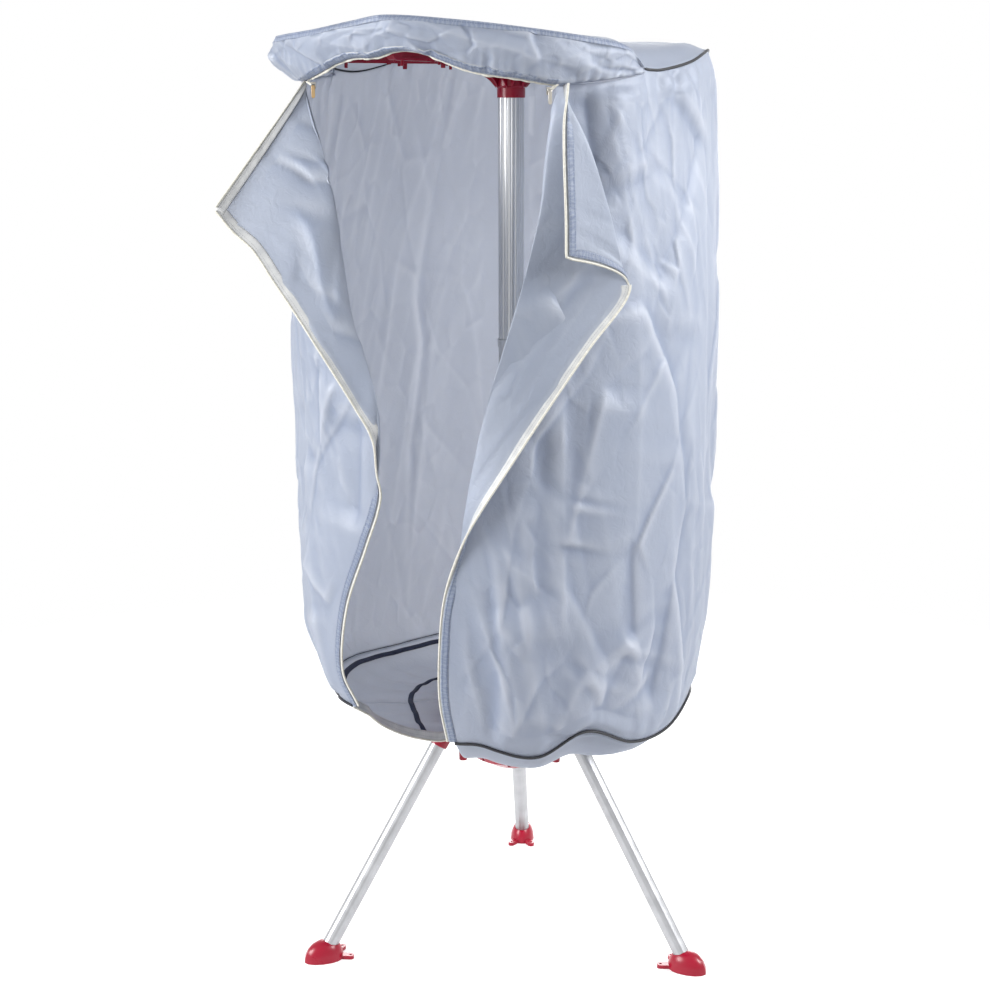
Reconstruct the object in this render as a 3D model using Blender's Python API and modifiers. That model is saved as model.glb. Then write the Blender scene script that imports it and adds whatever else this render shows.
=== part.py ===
"""Heated clothes airer in metres, +Z up, the open front of the cover towards -Y.

A fan heater stands on a hub with three folding legs, under a zipped fabric cover. A pole rises from the heater to a
hub with six folding hanger arms, and the cover hangs on the arms. The origin is the middle of the whole airer's
footprint, on the floor.
"""

import math
from bisect import bisect_right

import bmesh
import bpy
import numpy as np
from mathutils import Matrix, Vector

# Clearances and shared values
GAP = 0.0003  # between two hard pieces that seat on each other
SEAM_GAP = 0.0008  # between two pieces of the sewn cover
FLOOR_CLEARANCE = 0.0010  # round the hub's drum
FACET_ROOM = 0.0011  # between a flat end and the faceted inside of a round shell
OVERRUN = 0.004  # how far a cutter runs past the wall that it cuts
ROUND_STEPS = 20
SMALL_STEPS = 10
WIDE_STEPS = 28
PEG_STEPS = 8
SHARP_ANGLE = math.radians(35)

# Legs and feet
LEG_COUNT = 3
LEG_AZIMUTH = math.radians(-153.6)  # of the left leg
LEG_TILT = math.radians(32.2)  # from upright, on the stop
LEG_LENGTH = 0.384  # from hinge to ankle
LEG_RADIUS = 0.012
LEG_WALL = 0.0014
LEG_PIVOT_RADIUS = 0.108
ANKLE_HEIGHT = 0.0216  # of the leg's end over the sole
FOOT_NOSE = 0.037
FOOT_HEEL = 0.026
FOOT_HALF_WIDTH = 0.0205
FOOT_HEIGHT = 0.031
FOOT_RINGS = 5
FOOT_POINTS = 16
ANKLE_BACK = 0.004  # the leg enters the dome this far behind its middle
PRONG_REACH = 0.038
PRONG_HALF_WIDTH = 0.0055
PRONG_THICKNESS = 0.006
PRONG_SPLAY = math.radians(32)
PRONG_SLOT = 0.0022
KNUCKLE_RADIUS = 0.0148
KNUCKLE_REACH = 0.036  # from hinge to the sleeve's open end
KNUCKLE_SOCKET = 0.023
EYE_RADIUS = 0.0120
EYE_WIDTH = 0.020
LEG_PIN_RADIUS = 0.0040
PIN_HEAD = 0.0022
PIN_HEAD_RADIUS = 0.0062

# Tripod hub
HUB_RADIUS = 0.090
HUB_WALL = 0.004
HUB_DRUM_TOP = 0.0365  # over the leg hinge
HUB_BOWL_DEPTH = 0.0795  # under the leg hinge
HUB_FLOOR_RADIUS = 0.030
BOWL_RADIUS_SHARES = (0.910, 0.678)
BOWL_DEPTH_SHARES = (0.36, 0.79)
EAR_THICKNESS = 0.005
EAR_RADIUS = 0.0122
EAR_ROOT = 0.084
EAR_GAP = 0.0004
BOSS_RADIUS = 0.0075
BOSS_PLACE = 0.0838
BOSS_DEPTH = 0.0615  # under the leg hinge
BOSS_ROUND = 0.0012
HUB_SLOTS = 9
HUB_SLOT_WIDTH = 0.0045
HUB_SLOT_LENGTH = 0.030
HUB_SLOT_PLACE = 0.055

# Heater pod
POD_RADIUS = 0.105
POD_WALL = 0.0028
POD_FLOOR = 0.0032
POD_FOOT_INSET = 0.009  # of the foot from the pod's side
POD_FLARE = 0.030  # height over which the base widens
POD_BASE_HEIGHT = 0.093
LEDGE_WIDTH = 0.008
LEDGE_THICKNESS = 0.003
LEDGE_DROP = 0.006  # from the rim to the ledge
INLET_INSET = 0.050  # of the inlet's edge from the foot's edge
GRILLE_OVERLAP = 0.006  # of the grille over the inlet's edge
GRILLE_THICKNESS = 0.0025
GRILLE_RINGS = 3
GRILLE_BAR = 0.0022
GRILLE_SPOKES = 6
POD_SHOULDER = 0.024  # height of the upper shell's side
POD_DOME = 0.0444  # height of the dome over the side
SOCKET_RADIUS = 0.0265
SOCKET_HEIGHT = 0.040
SOCKET_DEPTH = 0.0405
OUTLET_SLOTS = 15
OUTLET_WIDTH = 0.0055
OUTLET_LENGTH = 0.034
OUTLET_INSET = 0.027  # from the pod's side
BRACKET_HEIGHT = 0.056  # over the pod's foot
BRACKET_THICKNESS = 0.003
BRACKET_RING = 0.033
BRACKET_ARM = 0.010
MOTOR_RADIUS = 0.027
MOTOR_HEIGHT = 0.022
MOTOR_BORE_DEPTH = 0.012
SHAFT_RADIUS = 0.0025
SHAFT_CLEARANCE = 0.0005
FAN_RADIUS = 0.050
FAN_HUB_RADIUS = 0.017
FAN_HUB_HEIGHT = 0.022
FAN_BLADES = 9
FAN_BLADE_THICKNESS = 0.0018
FAN_BLADE_HEIGHT = 0.018
FAN_BLADE_PITCH = math.radians(38)
FAN_FLOOR_CLEARANCE = 0.010
FRAME_THICKNESS = 0.003
ELEMENT_LENGTH = 0.084
ELEMENT_WIDTH = 0.050
ELEMENT_HEIGHT = 0.011
ELEMENT_FINS = 14
FIN_THICKNESS = 0.0014
FIN_RISE = 0.007
CUTOUT_RADIUS = 0.0075
CUTOUT_HEIGHT = 0.006
CUTOUT_PLACE = 0.060
TIMER_AZIMUTH = math.radians(-58)
TIMER_SIZE = (0.026, 0.030, 0.030)
TIMER_HEIGHT = 0.047  # of the spindle over the pod's foot
KNOB_RADIUS = 0.013
KNOB_DEPTH = 0.014
KNOB_GRIP = 0.0042
KNOB_CLEARANCE = 0.0009
SPINDLE_RADIUS = 0.003
SPINDLE_REACH = 0.012
GLAND_AZIMUTH = math.radians(122)
GLAND_RADIUS = 0.0085
GLAND_BORE = 0.0038
GLAND_LENGTH = 0.014
GLAND_HEIGHT = 0.016
TERMINAL_SIZE = (0.014, 0.026, 0.012)
TERMINAL_INSET = 0.023  # from the pod's foot

# Pole
POLE_RADIUS = 0.019
POLE_BORE = 0.0168
POLE_FLUTES = 20
FLUTE_DEPTH = 0.0006
LOWER_POLE = 0.385
UPPER_POLE = 0.3874
JOINER_RADIUS = 0.0206
JOINER_HEIGHT = 0.012
SPIGOT_LENGTH = 0.030
SPIGOT_CHAMFER = 0.002

# Top hub and arms
TOP_SOCKET_DEPTH = 0.034
COLLAR_RADIUS = 0.0206
COLLAR_HEIGHT = 0.014
ARM_RISE = 0.056  # of the arm hinges over the collar's lower edge
ARM_COUNT = 6
ARM_AZIMUTH = math.radians(-127)
ARM_PIVOT_RADIUS = 0.052
ARM_REACH = 0.270
ARM_HEIGHT = 0.017
ARM_TIP_HEIGHT = 0.0145
ARM_WIDTH = 0.0130
ARM_RECESS = 0.0022
ARM_RECESS_MARGIN = 0.0035
ARM_FOLD_ROOM = 0.0012
CHEEK_THICKNESS = 0.0026
CHEEK_GAP = 0.0004
FLARE_RADIUS = 0.0600
FLARE_RADIUS_SHARES = (0.358, 0.50, 0.70, 0.84, 1.0)
FLARE_RISE_SHARES = (0.0, 0.30, 0.56, 0.70, 0.95)
FLARE_HEIGHT = 0.0335
HUB_PLATE_THICKNESS = 0.0032
ARM_PIN_RADIUS = 0.0022
PEG_REACH_SHARES = (0.9667, 0.9074, 0.6704, 0.6148, 0.5815)
PEG_RADII = (0.0022, 0.0031, 0.0040, 0.0025, 0.0040)
PEG_DROPS = (0.0016, 0.0072, 0.0014, 0.0040, 0.0080)
CAP_RADIUS = 0.026
CAP_HEIGHT = 0.005

# Cover
COVER_RADIUS = 0.3125
COVER_SIDESTEP = 0.012  # how far the open cover hangs to the left of the pole
COVER_BASE_RISE = 0.002  # of the bottom seam over the hub's drum
LID_RISE = 0.040  # how far the open lid stands up over the arms
FABRIC = 0.0015
TAPE_WIDTH = 0.008
TAPE_THICKNESS = 0.0014
HEM_WIDTH = 0.012
PIPING_RADIUS = 0.0020
FOLD_DEPTH = 0.0045
BACK_SEAM = math.radians(90)
BACK_SEAM_GAP = math.radians(0.12)
ARM_CLEARANCE = 0.0009
FOLD_ROLL = 0.014
FOLD_EASE = math.radians(26)  # over which a wall turns from its own shape into its fold
LAPEL_SPREAD = 0.02
LAPEL_FULL = 0.08  # reach at which a lapel has its full roll and spread
WALL_ROWS = 16
FLAP_COLUMNS = 8
CORNER_COLUMNS = 5
CORNER_ROW = 11
CORNER_TAPE_LEAN = 0.6
SLIDER_SIZE = (0.007, 0.0036, 0.010)
PULLER_SIZE = (0.0050, 0.0014, 0.018)
PULLER_CLEARANCE = 0.0012
LUG_RISE = 0.0008  # of the puller's lug over the slider's middle
SLIDER_DROP = 0.003
SLIDER_FACINGS = (0.0, math.radians(13))
SLIDER_ASIDES = (0.0059, 0.0)
SLIDER_STANDOFFS = (0.0045, -0.0012)  # from the tape's middle, as the tape leans

# Sizes that follow from others
POD_FOOT_RADIUS = POD_RADIUS - POD_FOOT_INSET
INLET_RADIUS = POD_FOOT_RADIUS - INLET_INSET
GRILLE_RADIUS = INLET_RADIUS + GRILLE_OVERLAP
COVER_LEAN = -COVER_SIDESTEP

# Heights that stack up from the floor
LEG_PIVOT_Z = ANKLE_HEIGHT + LEG_LENGTH * math.cos(LEG_TILT)
HUB_TOP_Z = LEG_PIVOT_Z + HUB_DRUM_TOP
POD_Z = HUB_TOP_Z + GAP
POD_RIM_Z = POD_Z + POD_BASE_HEIGHT
LEDGE_Z = POD_RIM_Z - LEDGE_DROP
SHELL_Z = POD_RIM_Z + GAP
DOME_Z = SHELL_Z + POD_SHOULDER
SOCKET_TOP_Z = DOME_Z + POD_DOME + SOCKET_HEIGHT
POLE_Z = SOCKET_TOP_Z - SOCKET_DEPTH + GAP
JOINER_Z = POLE_Z + LOWER_POLE + GAP
UPPER_POLE_Z = JOINER_Z + JOINER_HEIGHT + GAP
POLE_TOP_Z = UPPER_POLE_Z + UPPER_POLE
COLLAR_Z = POLE_TOP_Z + GAP - TOP_SOCKET_DEPTH
ARM_Z = COLLAR_Z + ARM_RISE
ARM_TOP_Z = ARM_Z + ARM_HEIGHT / 2
PLATE_Z = ARM_TOP_Z + ARM_FOLD_ROOM
CAP_Z = PLATE_Z + HUB_PLATE_THICKNESS + GAP
COVER_BASE_Z = HUB_TOP_Z + COVER_BASE_RISE
COVER_HEIGHT = ARM_TOP_Z - COVER_BASE_Z

# Colours: base colour, roughness, metallic
FINISHES = {
    "crimson": ((0.45, 0.012, 0.055), 0.32, 0.0),
    "aluminium": ((0.80, 0.81, 0.82), 0.30, 1.0),
    "fabric": ((0.38, 0.44, 0.58), 0.62, 0.0),
    "piping": ((0.012, 0.013, 0.018), 0.55, 0.0),
    "tape": ((0.72, 0.70, 0.62), 0.60, 0.0),
    "nickel": ((0.62, 0.60, 0.56), 0.28, 1.0),
    "steel": ((0.55, 0.56, 0.58), 0.35, 1.0),
    "charcoal": ((0.035, 0.036, 0.040), 0.50, 0.0),
    "ceramic": ((0.60, 0.50, 0.36), 0.70, 0.0),
}

# Cover outlines. Azimuths are in degrees round the cover's own middle. A radius is a share of COVER_RADIUS,
# a rise is a share of LID_RISE over the arms, and a height is a share of COVER_HEIGHT over the bottom seam.
RIM_SHARES = (
    (-187.3, 0.985, 0.10),
    (-176.0, 1.030, 0.25),
    (-165.0, 1.055, 0.44),
    (-151.0, 1.088, 0.50),
    (-137.0, 1.090, 0.62),
    (-124.9, 1.090, 0.85),
    (-116.0, 1.100, 1.01),
    (-101.0, 1.090, 0.86),
    (-86.0, 1.085, 0.62),
    (-64.7, 1.050, 0.22),
    (-57.0, 1.000, -0.15),
    (-50.0, 0.955, -0.52),
    (-37.0, 0.945, -0.68),
    (-22.0, 0.945, -0.30),
    (-6.7, 0.950, 0.12),
    (22.0, 0.935, -0.68),
    (51.0, 0.940, 0.10),
    (81.0, 0.935, -0.68),
    (110.6, 0.940, 0.10),
    (141.0, 0.945, -0.62),
    (160.0, 0.960, -0.30),
    (172.7, 0.985, 0.10),
)
LID_EDGE_SHARES = (
    (-208.0, 0.945, -0.78),
    (-195.0, 0.940, -0.92),
    (-180.0, 0.940, -1.02),
    (-164.0, 0.932, -1.00),
    (-152.0, 0.980, -0.97),
    (-145.0, 1.010, -0.88),
    (-138.4, 1.030, -0.70),
    (-132.8, 1.040, -0.47),
    (-127.0, 1.050, -0.30),
    (-120.0, 1.055, -0.28),
    (-115.3, 1.060, -0.11),
    (-111.0, 1.065, -0.09),
    (-106.0, 1.070, -0.25),
    (-97.0, 1.070, -0.71),
    (-86.0, 1.070, -0.96),
    (-77.0, 1.045, -1.15),
    (-70.0, 1.010, -1.10),
    (-60.0, 0.985, -0.95),
    (-51.0, 0.965, -0.80),
)
LID_BULGE_SHARES = ((-208.0, 0.0), (-176.0, 0.075), (-150.0, 0.03), (-110.0, 0.02), (-75.0, 0.03), (-51.0, 0.0))
WALL_PROFILE_SHARES = ((0.0, 0.930), (0.06, 0.955), (0.16, 0.985), (0.35, 1.0), (0.8, 1.0), (0.93, 0.975), (1.0, 0.945))
BOTTOM_SHARES = (
    (-107.0, 0.018),
    (-100.0, 0.031),
    (-92.0, 0.002),
    (-80.0, 0.0),
    (-66.0, 0.032),
    (-50.0, 0.0),
    (-35.0, -0.002),
    (-15.0, 0.018),
    (10.0, 0.008),
    (40.0, 0.016),
    (70.0, 0.004),
    (100.0, 0.016),
    (130.0, 0.006),
    (160.0, 0.016),
    (190.0, 0.014),
    (221.0, 0.045),
)
# Rows of the left wall: row share, then azimuth, radius and height of the fold, then of the lapel's free edge
LEFT_SHARES = (
    (0.00, -139.0, 0.930, 0.045, -136.8, 0.930, 0.045),
    (0.08, -142.3, 0.975, 0.102, -140.2, 0.975, 0.102),
    (0.18, -138.5, 0.995, 0.200, -136.4, 0.995, 0.200),
    (0.28, -130.4, 1.000, 0.299, -128.3, 1.000, 0.299),
    (0.38, -125.4, 1.000, 0.385, -123.2, 0.998, 0.376),
    (0.44, -123.2, 1.012, 0.440, -123.4, 1.012, 0.415),
    (0.51, -124.2, 1.015, 0.521, -123.1, 1.040, 0.465),
    (0.59, -127.9, 1.010, 0.589, -127.0, 1.070, 0.510),
    (0.67, -132.9, 1.005, 0.658, -132.0, 1.120, 0.565),
    (0.74, -136.0, 0.992, 0.726, -138.4, 1.182, 0.631),
    (0.82, -139.5, 0.975, 0.800, -143.5, 1.238, 0.681),
    (0.90, -148.9, 0.945, 0.880, -147.8, 1.292, 0.726),
    (0.96, -158.0, 0.932, 0.932, -151.1, 1.357, 0.753),
    (1.00, -164.1, 0.932, 0.957, -153.0, 1.411, 0.779),
)
# Rows of the right wall: row share, then azimuth, radius and height of the fold, then of the flap's far edge
RIGHT_SHARES = (
    (0.00, -103.4, 0.930, 0.020, -105.5, 0.930, 0.020),
    (0.09, -104.8, 0.965, 0.090, -107.0, 0.965, 0.090),
    (0.18, -104.1, 0.985, 0.180, -106.3, 0.985, 0.180),
    (0.24, -102.8, 0.992, 0.240, -104.9, 0.992, 0.240),
    (0.30, -101.0, 1.000, 0.300, -101.4, 1.020, 0.300),
    (0.36, -99.2, 1.000, 0.362, -97.0, 1.055, 0.356),
    (0.43, -96.7, 1.000, 0.431, -90.0, 1.075, 0.425),
    (0.53, -93.0, 1.000, 0.530, -79.5, 1.080, 0.522),
    (0.60, -89.4, 1.000, 0.600, -69.8, 1.080, 0.603),
    (0.67, -85.7, 1.000, 0.667, -60.2, 1.080, 0.672),
    (0.74, -82.5, 1.000, 0.735, -61.6, 1.080, 0.715),
    (0.80, -79.7, 1.000, 0.801, -65.2, 1.080, 0.790),
    (0.88, -78.0, 1.000, 0.867, -69.8, 1.075, 0.868),
    (0.96, -75.9, 0.990, 0.937, -74.6, 1.050, 0.932),
    (1.00, -76.2, 0.975, 0.953, -75.6, 1.035, 0.950),
)
# The flap's turned corner: row share, then azimuth, radius and height of its free edge
CORNER_SHARES = (
    (0.68, -75.5, 1.120, 0.722),
    (0.76, -75.6, 1.118, 0.780),
    (0.85, -75.9, 1.110, 0.845),
    (0.93, -76.4, 1.090, 0.900),
    (1.00, -77.4, 1.060, 0.953),
)
# The floor panel, from the hub outwards: reach share, then sag in the middle and beside the slit,
# as shares of FLOOR_SAG
FLOOR_SAG = 0.032
FLOOR_SHARES = ((0.0, 0.10, 0.10), (0.12, 0.22, 0.60), (0.35, 0.42, 0.95), (0.6, 0.60, 0.80), (0.82, 0.66, 0.62), (1.0, 0.0, 0.0))
COLUMN_SHARES = (-0.03, 0.03, 0.13333, 0.25, 0.36667, 0.5, 0.63333, 0.75, 0.86667)  # of the angle between arms
LID_RANGE = (LID_EDGE_SHARES[0][0], LID_EDGE_SHARES[-1][0])
LID_END = math.radians(1.8)  # from the lid band's ends to the piping
OPEN_LID_ROWS = (3, 15)  # of the lid's edge, where its zip is open
LID_ROWS = 5
TOP_RING_SHARES = (0.09, 0.22, 0.45, 0.68, 0.86, 1.0)
OPEN_LID_RANGE = (LID_EDGE_SHARES[OPEN_LID_ROWS[0]][0], LID_EDGE_SHARES[OPEN_LID_ROWS[1]][0])


def clear_scene():
    for obj in list(bpy.data.objects):
        bpy.data.objects.remove(obj, do_unlink=True)


def new_collection(name):
    made = bpy.data.collections.new(name)
    bpy.context.scene.collection.children.link(made)
    return made


def new_finish(name):
    colour, roughness, metallic = FINISHES[name]
    made = bpy.data.materials.new(name)
    made.use_nodes = True
    shader = made.node_tree.nodes["Principled BSDF"]
    shader.inputs["Base Color"].default_value = (*colour, 1)
    shader.inputs["Roughness"].default_value = roughness
    shader.inputs["Metallic"].default_value = metallic
    made.diffuse_color = (*colour, 1)
    return made


clear_scene()
PARTS = new_collection("heated_clothes_airer")
CUTTERS = new_collection("cutters")
MATERIALS = {name: new_finish(name) for name in FINISHES}


def empty(name, location=(0, 0, 0), rotation=(0, 0, 0), parent=None):
    """An axis that pieces hang on. Its own Y is the hinge axis wherever something turns on it."""
    made = bpy.data.objects.new(name, None)
    made.location = location
    made.rotation_euler = rotation
    made.parent = parent
    PARTS.objects.link(made)
    return made


AIRER = empty("airer_frame")


def place(obj, finish, parent=AIRER, smooth=True):
    """Puts an object in the parts collection with its finish and its parent."""
    for owner in list(obj.users_collection):
        owner.objects.unlink(obj)
    PARTS.objects.link(obj)
    obj.parent = parent
    for modifier in obj.modifiers:
        if modifier.type == "BOOLEAN":
            modifier.object.parent = parent
    obj.data.materials.clear()
    obj.data.materials.append(MATERIALS[finish])
    if smooth and obj.type == "MESH":
        obj.data.shade_smooth()
        obj.data.set_sharp_from_angle(angle=SHARP_ANGLE)
    return obj


def as_cutter(obj, parent=AIRER):
    for owner in list(obj.users_collection):
        owner.objects.unlink(obj)
    CUTTERS.objects.link(obj)
    obj.parent = parent
    obj.hide_render = True
    obj.display_type = "WIRE"
    return obj


def from_bmesh(name, shape):
    bmesh.ops.recalc_face_normals(shape, faces=shape.faces)
    mesh = bpy.data.meshes.new(name)
    shape.to_mesh(mesh)
    shape.free()
    obj = bpy.data.objects.new(name, mesh)
    bpy.context.scene.collection.objects.link(obj)
    return obj


def add_box(shape, size, matrix):
    made = bmesh.ops.create_cube(shape, size=1.0)
    scale = Matrix.Diagonal((*size, 1.0))
    bmesh.ops.transform(shape, matrix=matrix @ scale, verts=made["verts"])


def add_cylinder(shape, radius, height, matrix, steps=ROUND_STEPS, top_radius=None):
    """A cylinder that stands on its matrix's origin, along its Z."""
    made = bmesh.ops.create_cone(
        shape,
        cap_ends=True,
        segments=steps,
        radius1=radius,
        radius2=radius if top_radius is None else top_radius,
        depth=height,
    )
    raised = matrix @ Matrix.Translation((0, 0, height / 2))
    bmesh.ops.transform(shape, matrix=raised, verts=made["verts"])


def boxes(name, size, matrices):
    shape = bmesh.new()
    for matrix in matrices:
        add_box(shape, size, matrix)
    return from_bmesh(name, shape)


def cylinders(name, radius, height, matrices, steps=ROUND_STEPS):
    shape = bmesh.new()
    for matrix in matrices:
        add_cylinder(shape, radius, height, matrix, steps)
    return from_bmesh(name, shape)


def shift(x=0.0, y=0.0, z=0.0):
    return Matrix.Translation((x, y, z))


def turn(angle, axis="Z"):
    return Matrix.Rotation(angle, 4, axis)


def round_the_axis(count, matrix, start=0.0):
    return [turn(start + 2 * math.pi * i / count) @ matrix for i in range(count)]


def turned(name, profile, steps=ROUND_STEPS, closed=False):
    """A profile of (radius, height) points screwed round Z. It runs down its outer side."""
    mesh = bpy.data.meshes.new(name)
    count = len(profile)
    edges = [(i, i + 1) for i in range(count - 1)]
    if closed:
        edges.append((count - 1, 0))
    mesh.from_pydata([(radius, 0, height) for radius, height in profile], edges, [])
    obj = bpy.data.objects.new(name, mesh)
    bpy.context.scene.collection.objects.link(obj)
    screw = obj.modifiers.new("turn", "SCREW")
    screw.axis = "Z"
    screw.steps = steps
    screw.render_steps = steps
    screw.use_merge_vertices = True
    screw.merge_threshold = 0.00005
    return obj


def applied(obj):
    """The same object as a plain welded mesh, its modifiers or its curve worked out."""
    bpy.context.view_layer.update()
    graph = bpy.context.evaluated_depsgraph_get()
    mesh = bpy.data.meshes.new_from_object(obj.evaluated_get(graph))
    shape = bmesh.new()
    shape.from_mesh(mesh)
    bmesh.ops.remove_doubles(shape, verts=shape.verts, dist=0.00001)
    bmesh.ops.recalc_face_normals(shape, faces=shape.faces)
    shape.to_mesh(mesh)
    shape.free()
    name = obj.name
    matrix = obj.matrix_world.copy()
    bpy.data.objects.remove(obj, do_unlink=True)
    made = bpy.data.objects.new(name, mesh)
    made.matrix_world = matrix
    bpy.context.scene.collection.objects.link(made)
    return made


def flat_curve(name, outlines, thickness):
    """Outlines in XY, filled between them and extruded along Z by the thickness in all."""
    curve = bpy.data.curves.new(name, "CURVE")
    curve.dimensions = "2D"
    curve.fill_mode = "BOTH"
    curve.extrude = thickness / 2
    for outline in outlines:
        spline = curve.splines.new("POLY")
        spline.points.add(len(outline) - 1)
        for point, (x, y) in zip(spline.points, outline):
            point.co = (x, y, 0, 1)
        spline.use_cyclic_u = True
    obj = bpy.data.objects.new(name, curve)
    bpy.context.scene.collection.objects.link(obj)
    return obj


def plates(name, outline, thickness, matrices):
    """Copies of one flat outline as one mesh."""
    plate = applied(flat_curve(name + "_outline", [outline], thickness))
    shape = bmesh.new()
    for matrix in matrices:
        first = len(shape.verts)
        shape.from_mesh(plate.data)
        shape.verts.ensure_lookup_table()
        bmesh.ops.transform(shape, matrix=matrix, verts=shape.verts[first:])
    bpy.data.objects.remove(plate, do_unlink=True)
    return from_bmesh(name, shape)


def tube(name, points, radius, resolution=1):
    curve = bpy.data.curves.new(name, "CURVE")
    curve.dimensions = "3D"
    curve.bevel_depth = radius
    curve.bevel_resolution = resolution
    curve.use_fill_caps = True
    spline = curve.splines.new("POLY")
    spline.points.add(len(points) - 1)
    for point, place_at in zip(spline.points, points):
        point.co = (*place_at, 1)
    obj = bpy.data.objects.new(name, curve)
    bpy.context.scene.collection.objects.link(obj)
    return obj


def arc(centre, radius, start, end, count):
    angles = [start + (end - start) * i / (count - 1) for i in range(count)]
    return [(centre[0] + radius * math.cos(a), centre[1] + radius * math.sin(a)) for a in angles]


def combine(obj, other, operation):
    """A Boolean of one object with another, or with all that a helper mesh holds."""
    as_cutter(other, obj.parent)
    made = obj.modifiers.new(other.name, "BOOLEAN")
    made.operation = operation
    made.object = other
    made.solver = "EXACT"
    made.use_self = operation == "UNION"
    return obj


def cut(obj, other):
    return combine(obj, other, "DIFFERENCE")


def join(obj, other):
    return combine(obj, other, "UNION")


def follow(table, at):
    """The values of a table at one place, on a smooth curve through its rows."""
    keys = [row[0] for row in table]
    values = [np.array(row[1:], float) for row in table]
    i = min(max(bisect_right(keys, at) - 1, 0), len(keys) - 2)
    span = keys[i + 1] - keys[i]
    t = min(max((at - keys[i]) / span, 0.0), 1.0)
    before, after = max(i - 1, 0), min(i + 2, len(keys) - 1)
    slope_in = (values[i + 1] - values[before]) / (keys[i + 1] - keys[before]) * span
    slope_out = (values[after] - values[i]) / (keys[after] - keys[i]) * span
    rise = t * t * (3 - 2 * t)
    lead = t * (1 - t) ** 2
    tail = t * t * (t - 1)
    return values[i] * (1 - rise) + values[i + 1] * rise + slope_in * lead + slope_out * tail


# Tripod hub


def hub_spider():
    """A slotted bowl under a drum, with a clevis for each leg."""
    bowl = []
    for radius_share, depth_share in zip(BOWL_RADIUS_SHARES, BOWL_DEPTH_SHARES):
        bowl.append((HUB_RADIUS * radius_share, LEG_PIVOT_Z - HUB_BOWL_DEPTH * depth_share))
    floor = LEG_PIVOT_Z - HUB_BOWL_DEPTH
    outer = [(HUB_RADIUS, HUB_TOP_Z), (HUB_RADIUS, LEG_PIVOT_Z)] + bowl + [(HUB_FLOOR_RADIUS, floor), (0, floor)]
    inner = [(0, floor + HUB_WALL), (HUB_FLOOR_RADIUS, floor + HUB_WALL)]
    inner += [(radius - HUB_WALL, height + HUB_WALL / 2) for radius, height in reversed(bowl)]
    inner += [(HUB_RADIUS - HUB_WALL, LEG_PIVOT_Z), (HUB_RADIUS - HUB_WALL, HUB_TOP_Z)]
    hub = applied(turned("hub_spider", inner + outer, WIDE_STEPS))
    ear_reach = LEG_PIVOT_RADIUS
    ear = arc((ear_reach, 0), EAR_RADIUS, -math.pi / 2, math.pi / 2, 9)
    ear += [(EAR_ROOT, EAR_RADIUS), (EAR_ROOT, -EAR_RADIUS)]
    side = EYE_WIDTH / 2 + EAR_GAP + EAR_THICKNESS / 2
    upright = shift(z=LEG_PIVOT_Z) @ turn(math.pi / 2, "X")
    places = []
    for i in range(LEG_COUNT):
        for offset in (-side, side):
            places.append(turn(leg_azimuth(i)) @ shift(y=offset) @ upright)
    join(hub, plates("hub_ears", ear, EAR_THICKNESS, places))
    boss = shift(BOSS_PLACE, 0, LEG_PIVOT_Z - BOSS_DEPTH)
    posts = bmesh.new()
    for i in range(LEG_COUNT):
        at = turn(leg_azimuth(i)) @ boss
        add_cylinder(posts, BOSS_RADIUS - BOSS_ROUND, BOSS_DEPTH - EAR_RADIUS, at, SMALL_STEPS, BOSS_RADIUS)
    join(hub, from_bmesh("hub_bosses", posts))
    pin_hole = turn(math.pi / 2, "X") @ shift(z=-EAR_RADIUS * 2)
    holes = [turn(leg_azimuth(i)) @ shift(ear_reach, 0, LEG_PIVOT_Z) @ pin_hole for i in range(LEG_COUNT)]
    cut(hub, cylinders("hub_pin_holes", LEG_PIN_RADIUS + GAP, EAR_RADIUS * 4, holes, SMALL_STEPS))
    slope = shift(HUB_SLOT_PLACE, 0, LEG_PIVOT_Z - HUB_BOWL_DEPTH * BOWL_DEPTH_SHARES[1])
    slots = round_the_axis(HUB_SLOTS, slope, leg_azimuth(0) + math.pi / HUB_SLOTS)
    cut(hub, boxes("hub_slots", (HUB_SLOT_LENGTH, HUB_SLOT_WIDTH, HUB_BOWL_DEPTH / 2), slots))
    return place(hub, "crimson")


def leg_azimuth(index):
    return LEG_AZIMUTH + 2 * math.pi * index / LEG_COUNT


# Legs


def leg_tube(name, parent):
    inner = LEG_RADIUS - LEG_WALL
    top = -(KNUCKLE_REACH - KNUCKLE_SOCKET) - GAP
    bottom = -LEG_LENGTH
    profile = [(inner, bottom), (inner, top), (LEG_RADIUS, top), (LEG_RADIUS, bottom)]
    return place(turned(name, profile, ROUND_STEPS, closed=True), "aluminium", parent)


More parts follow.
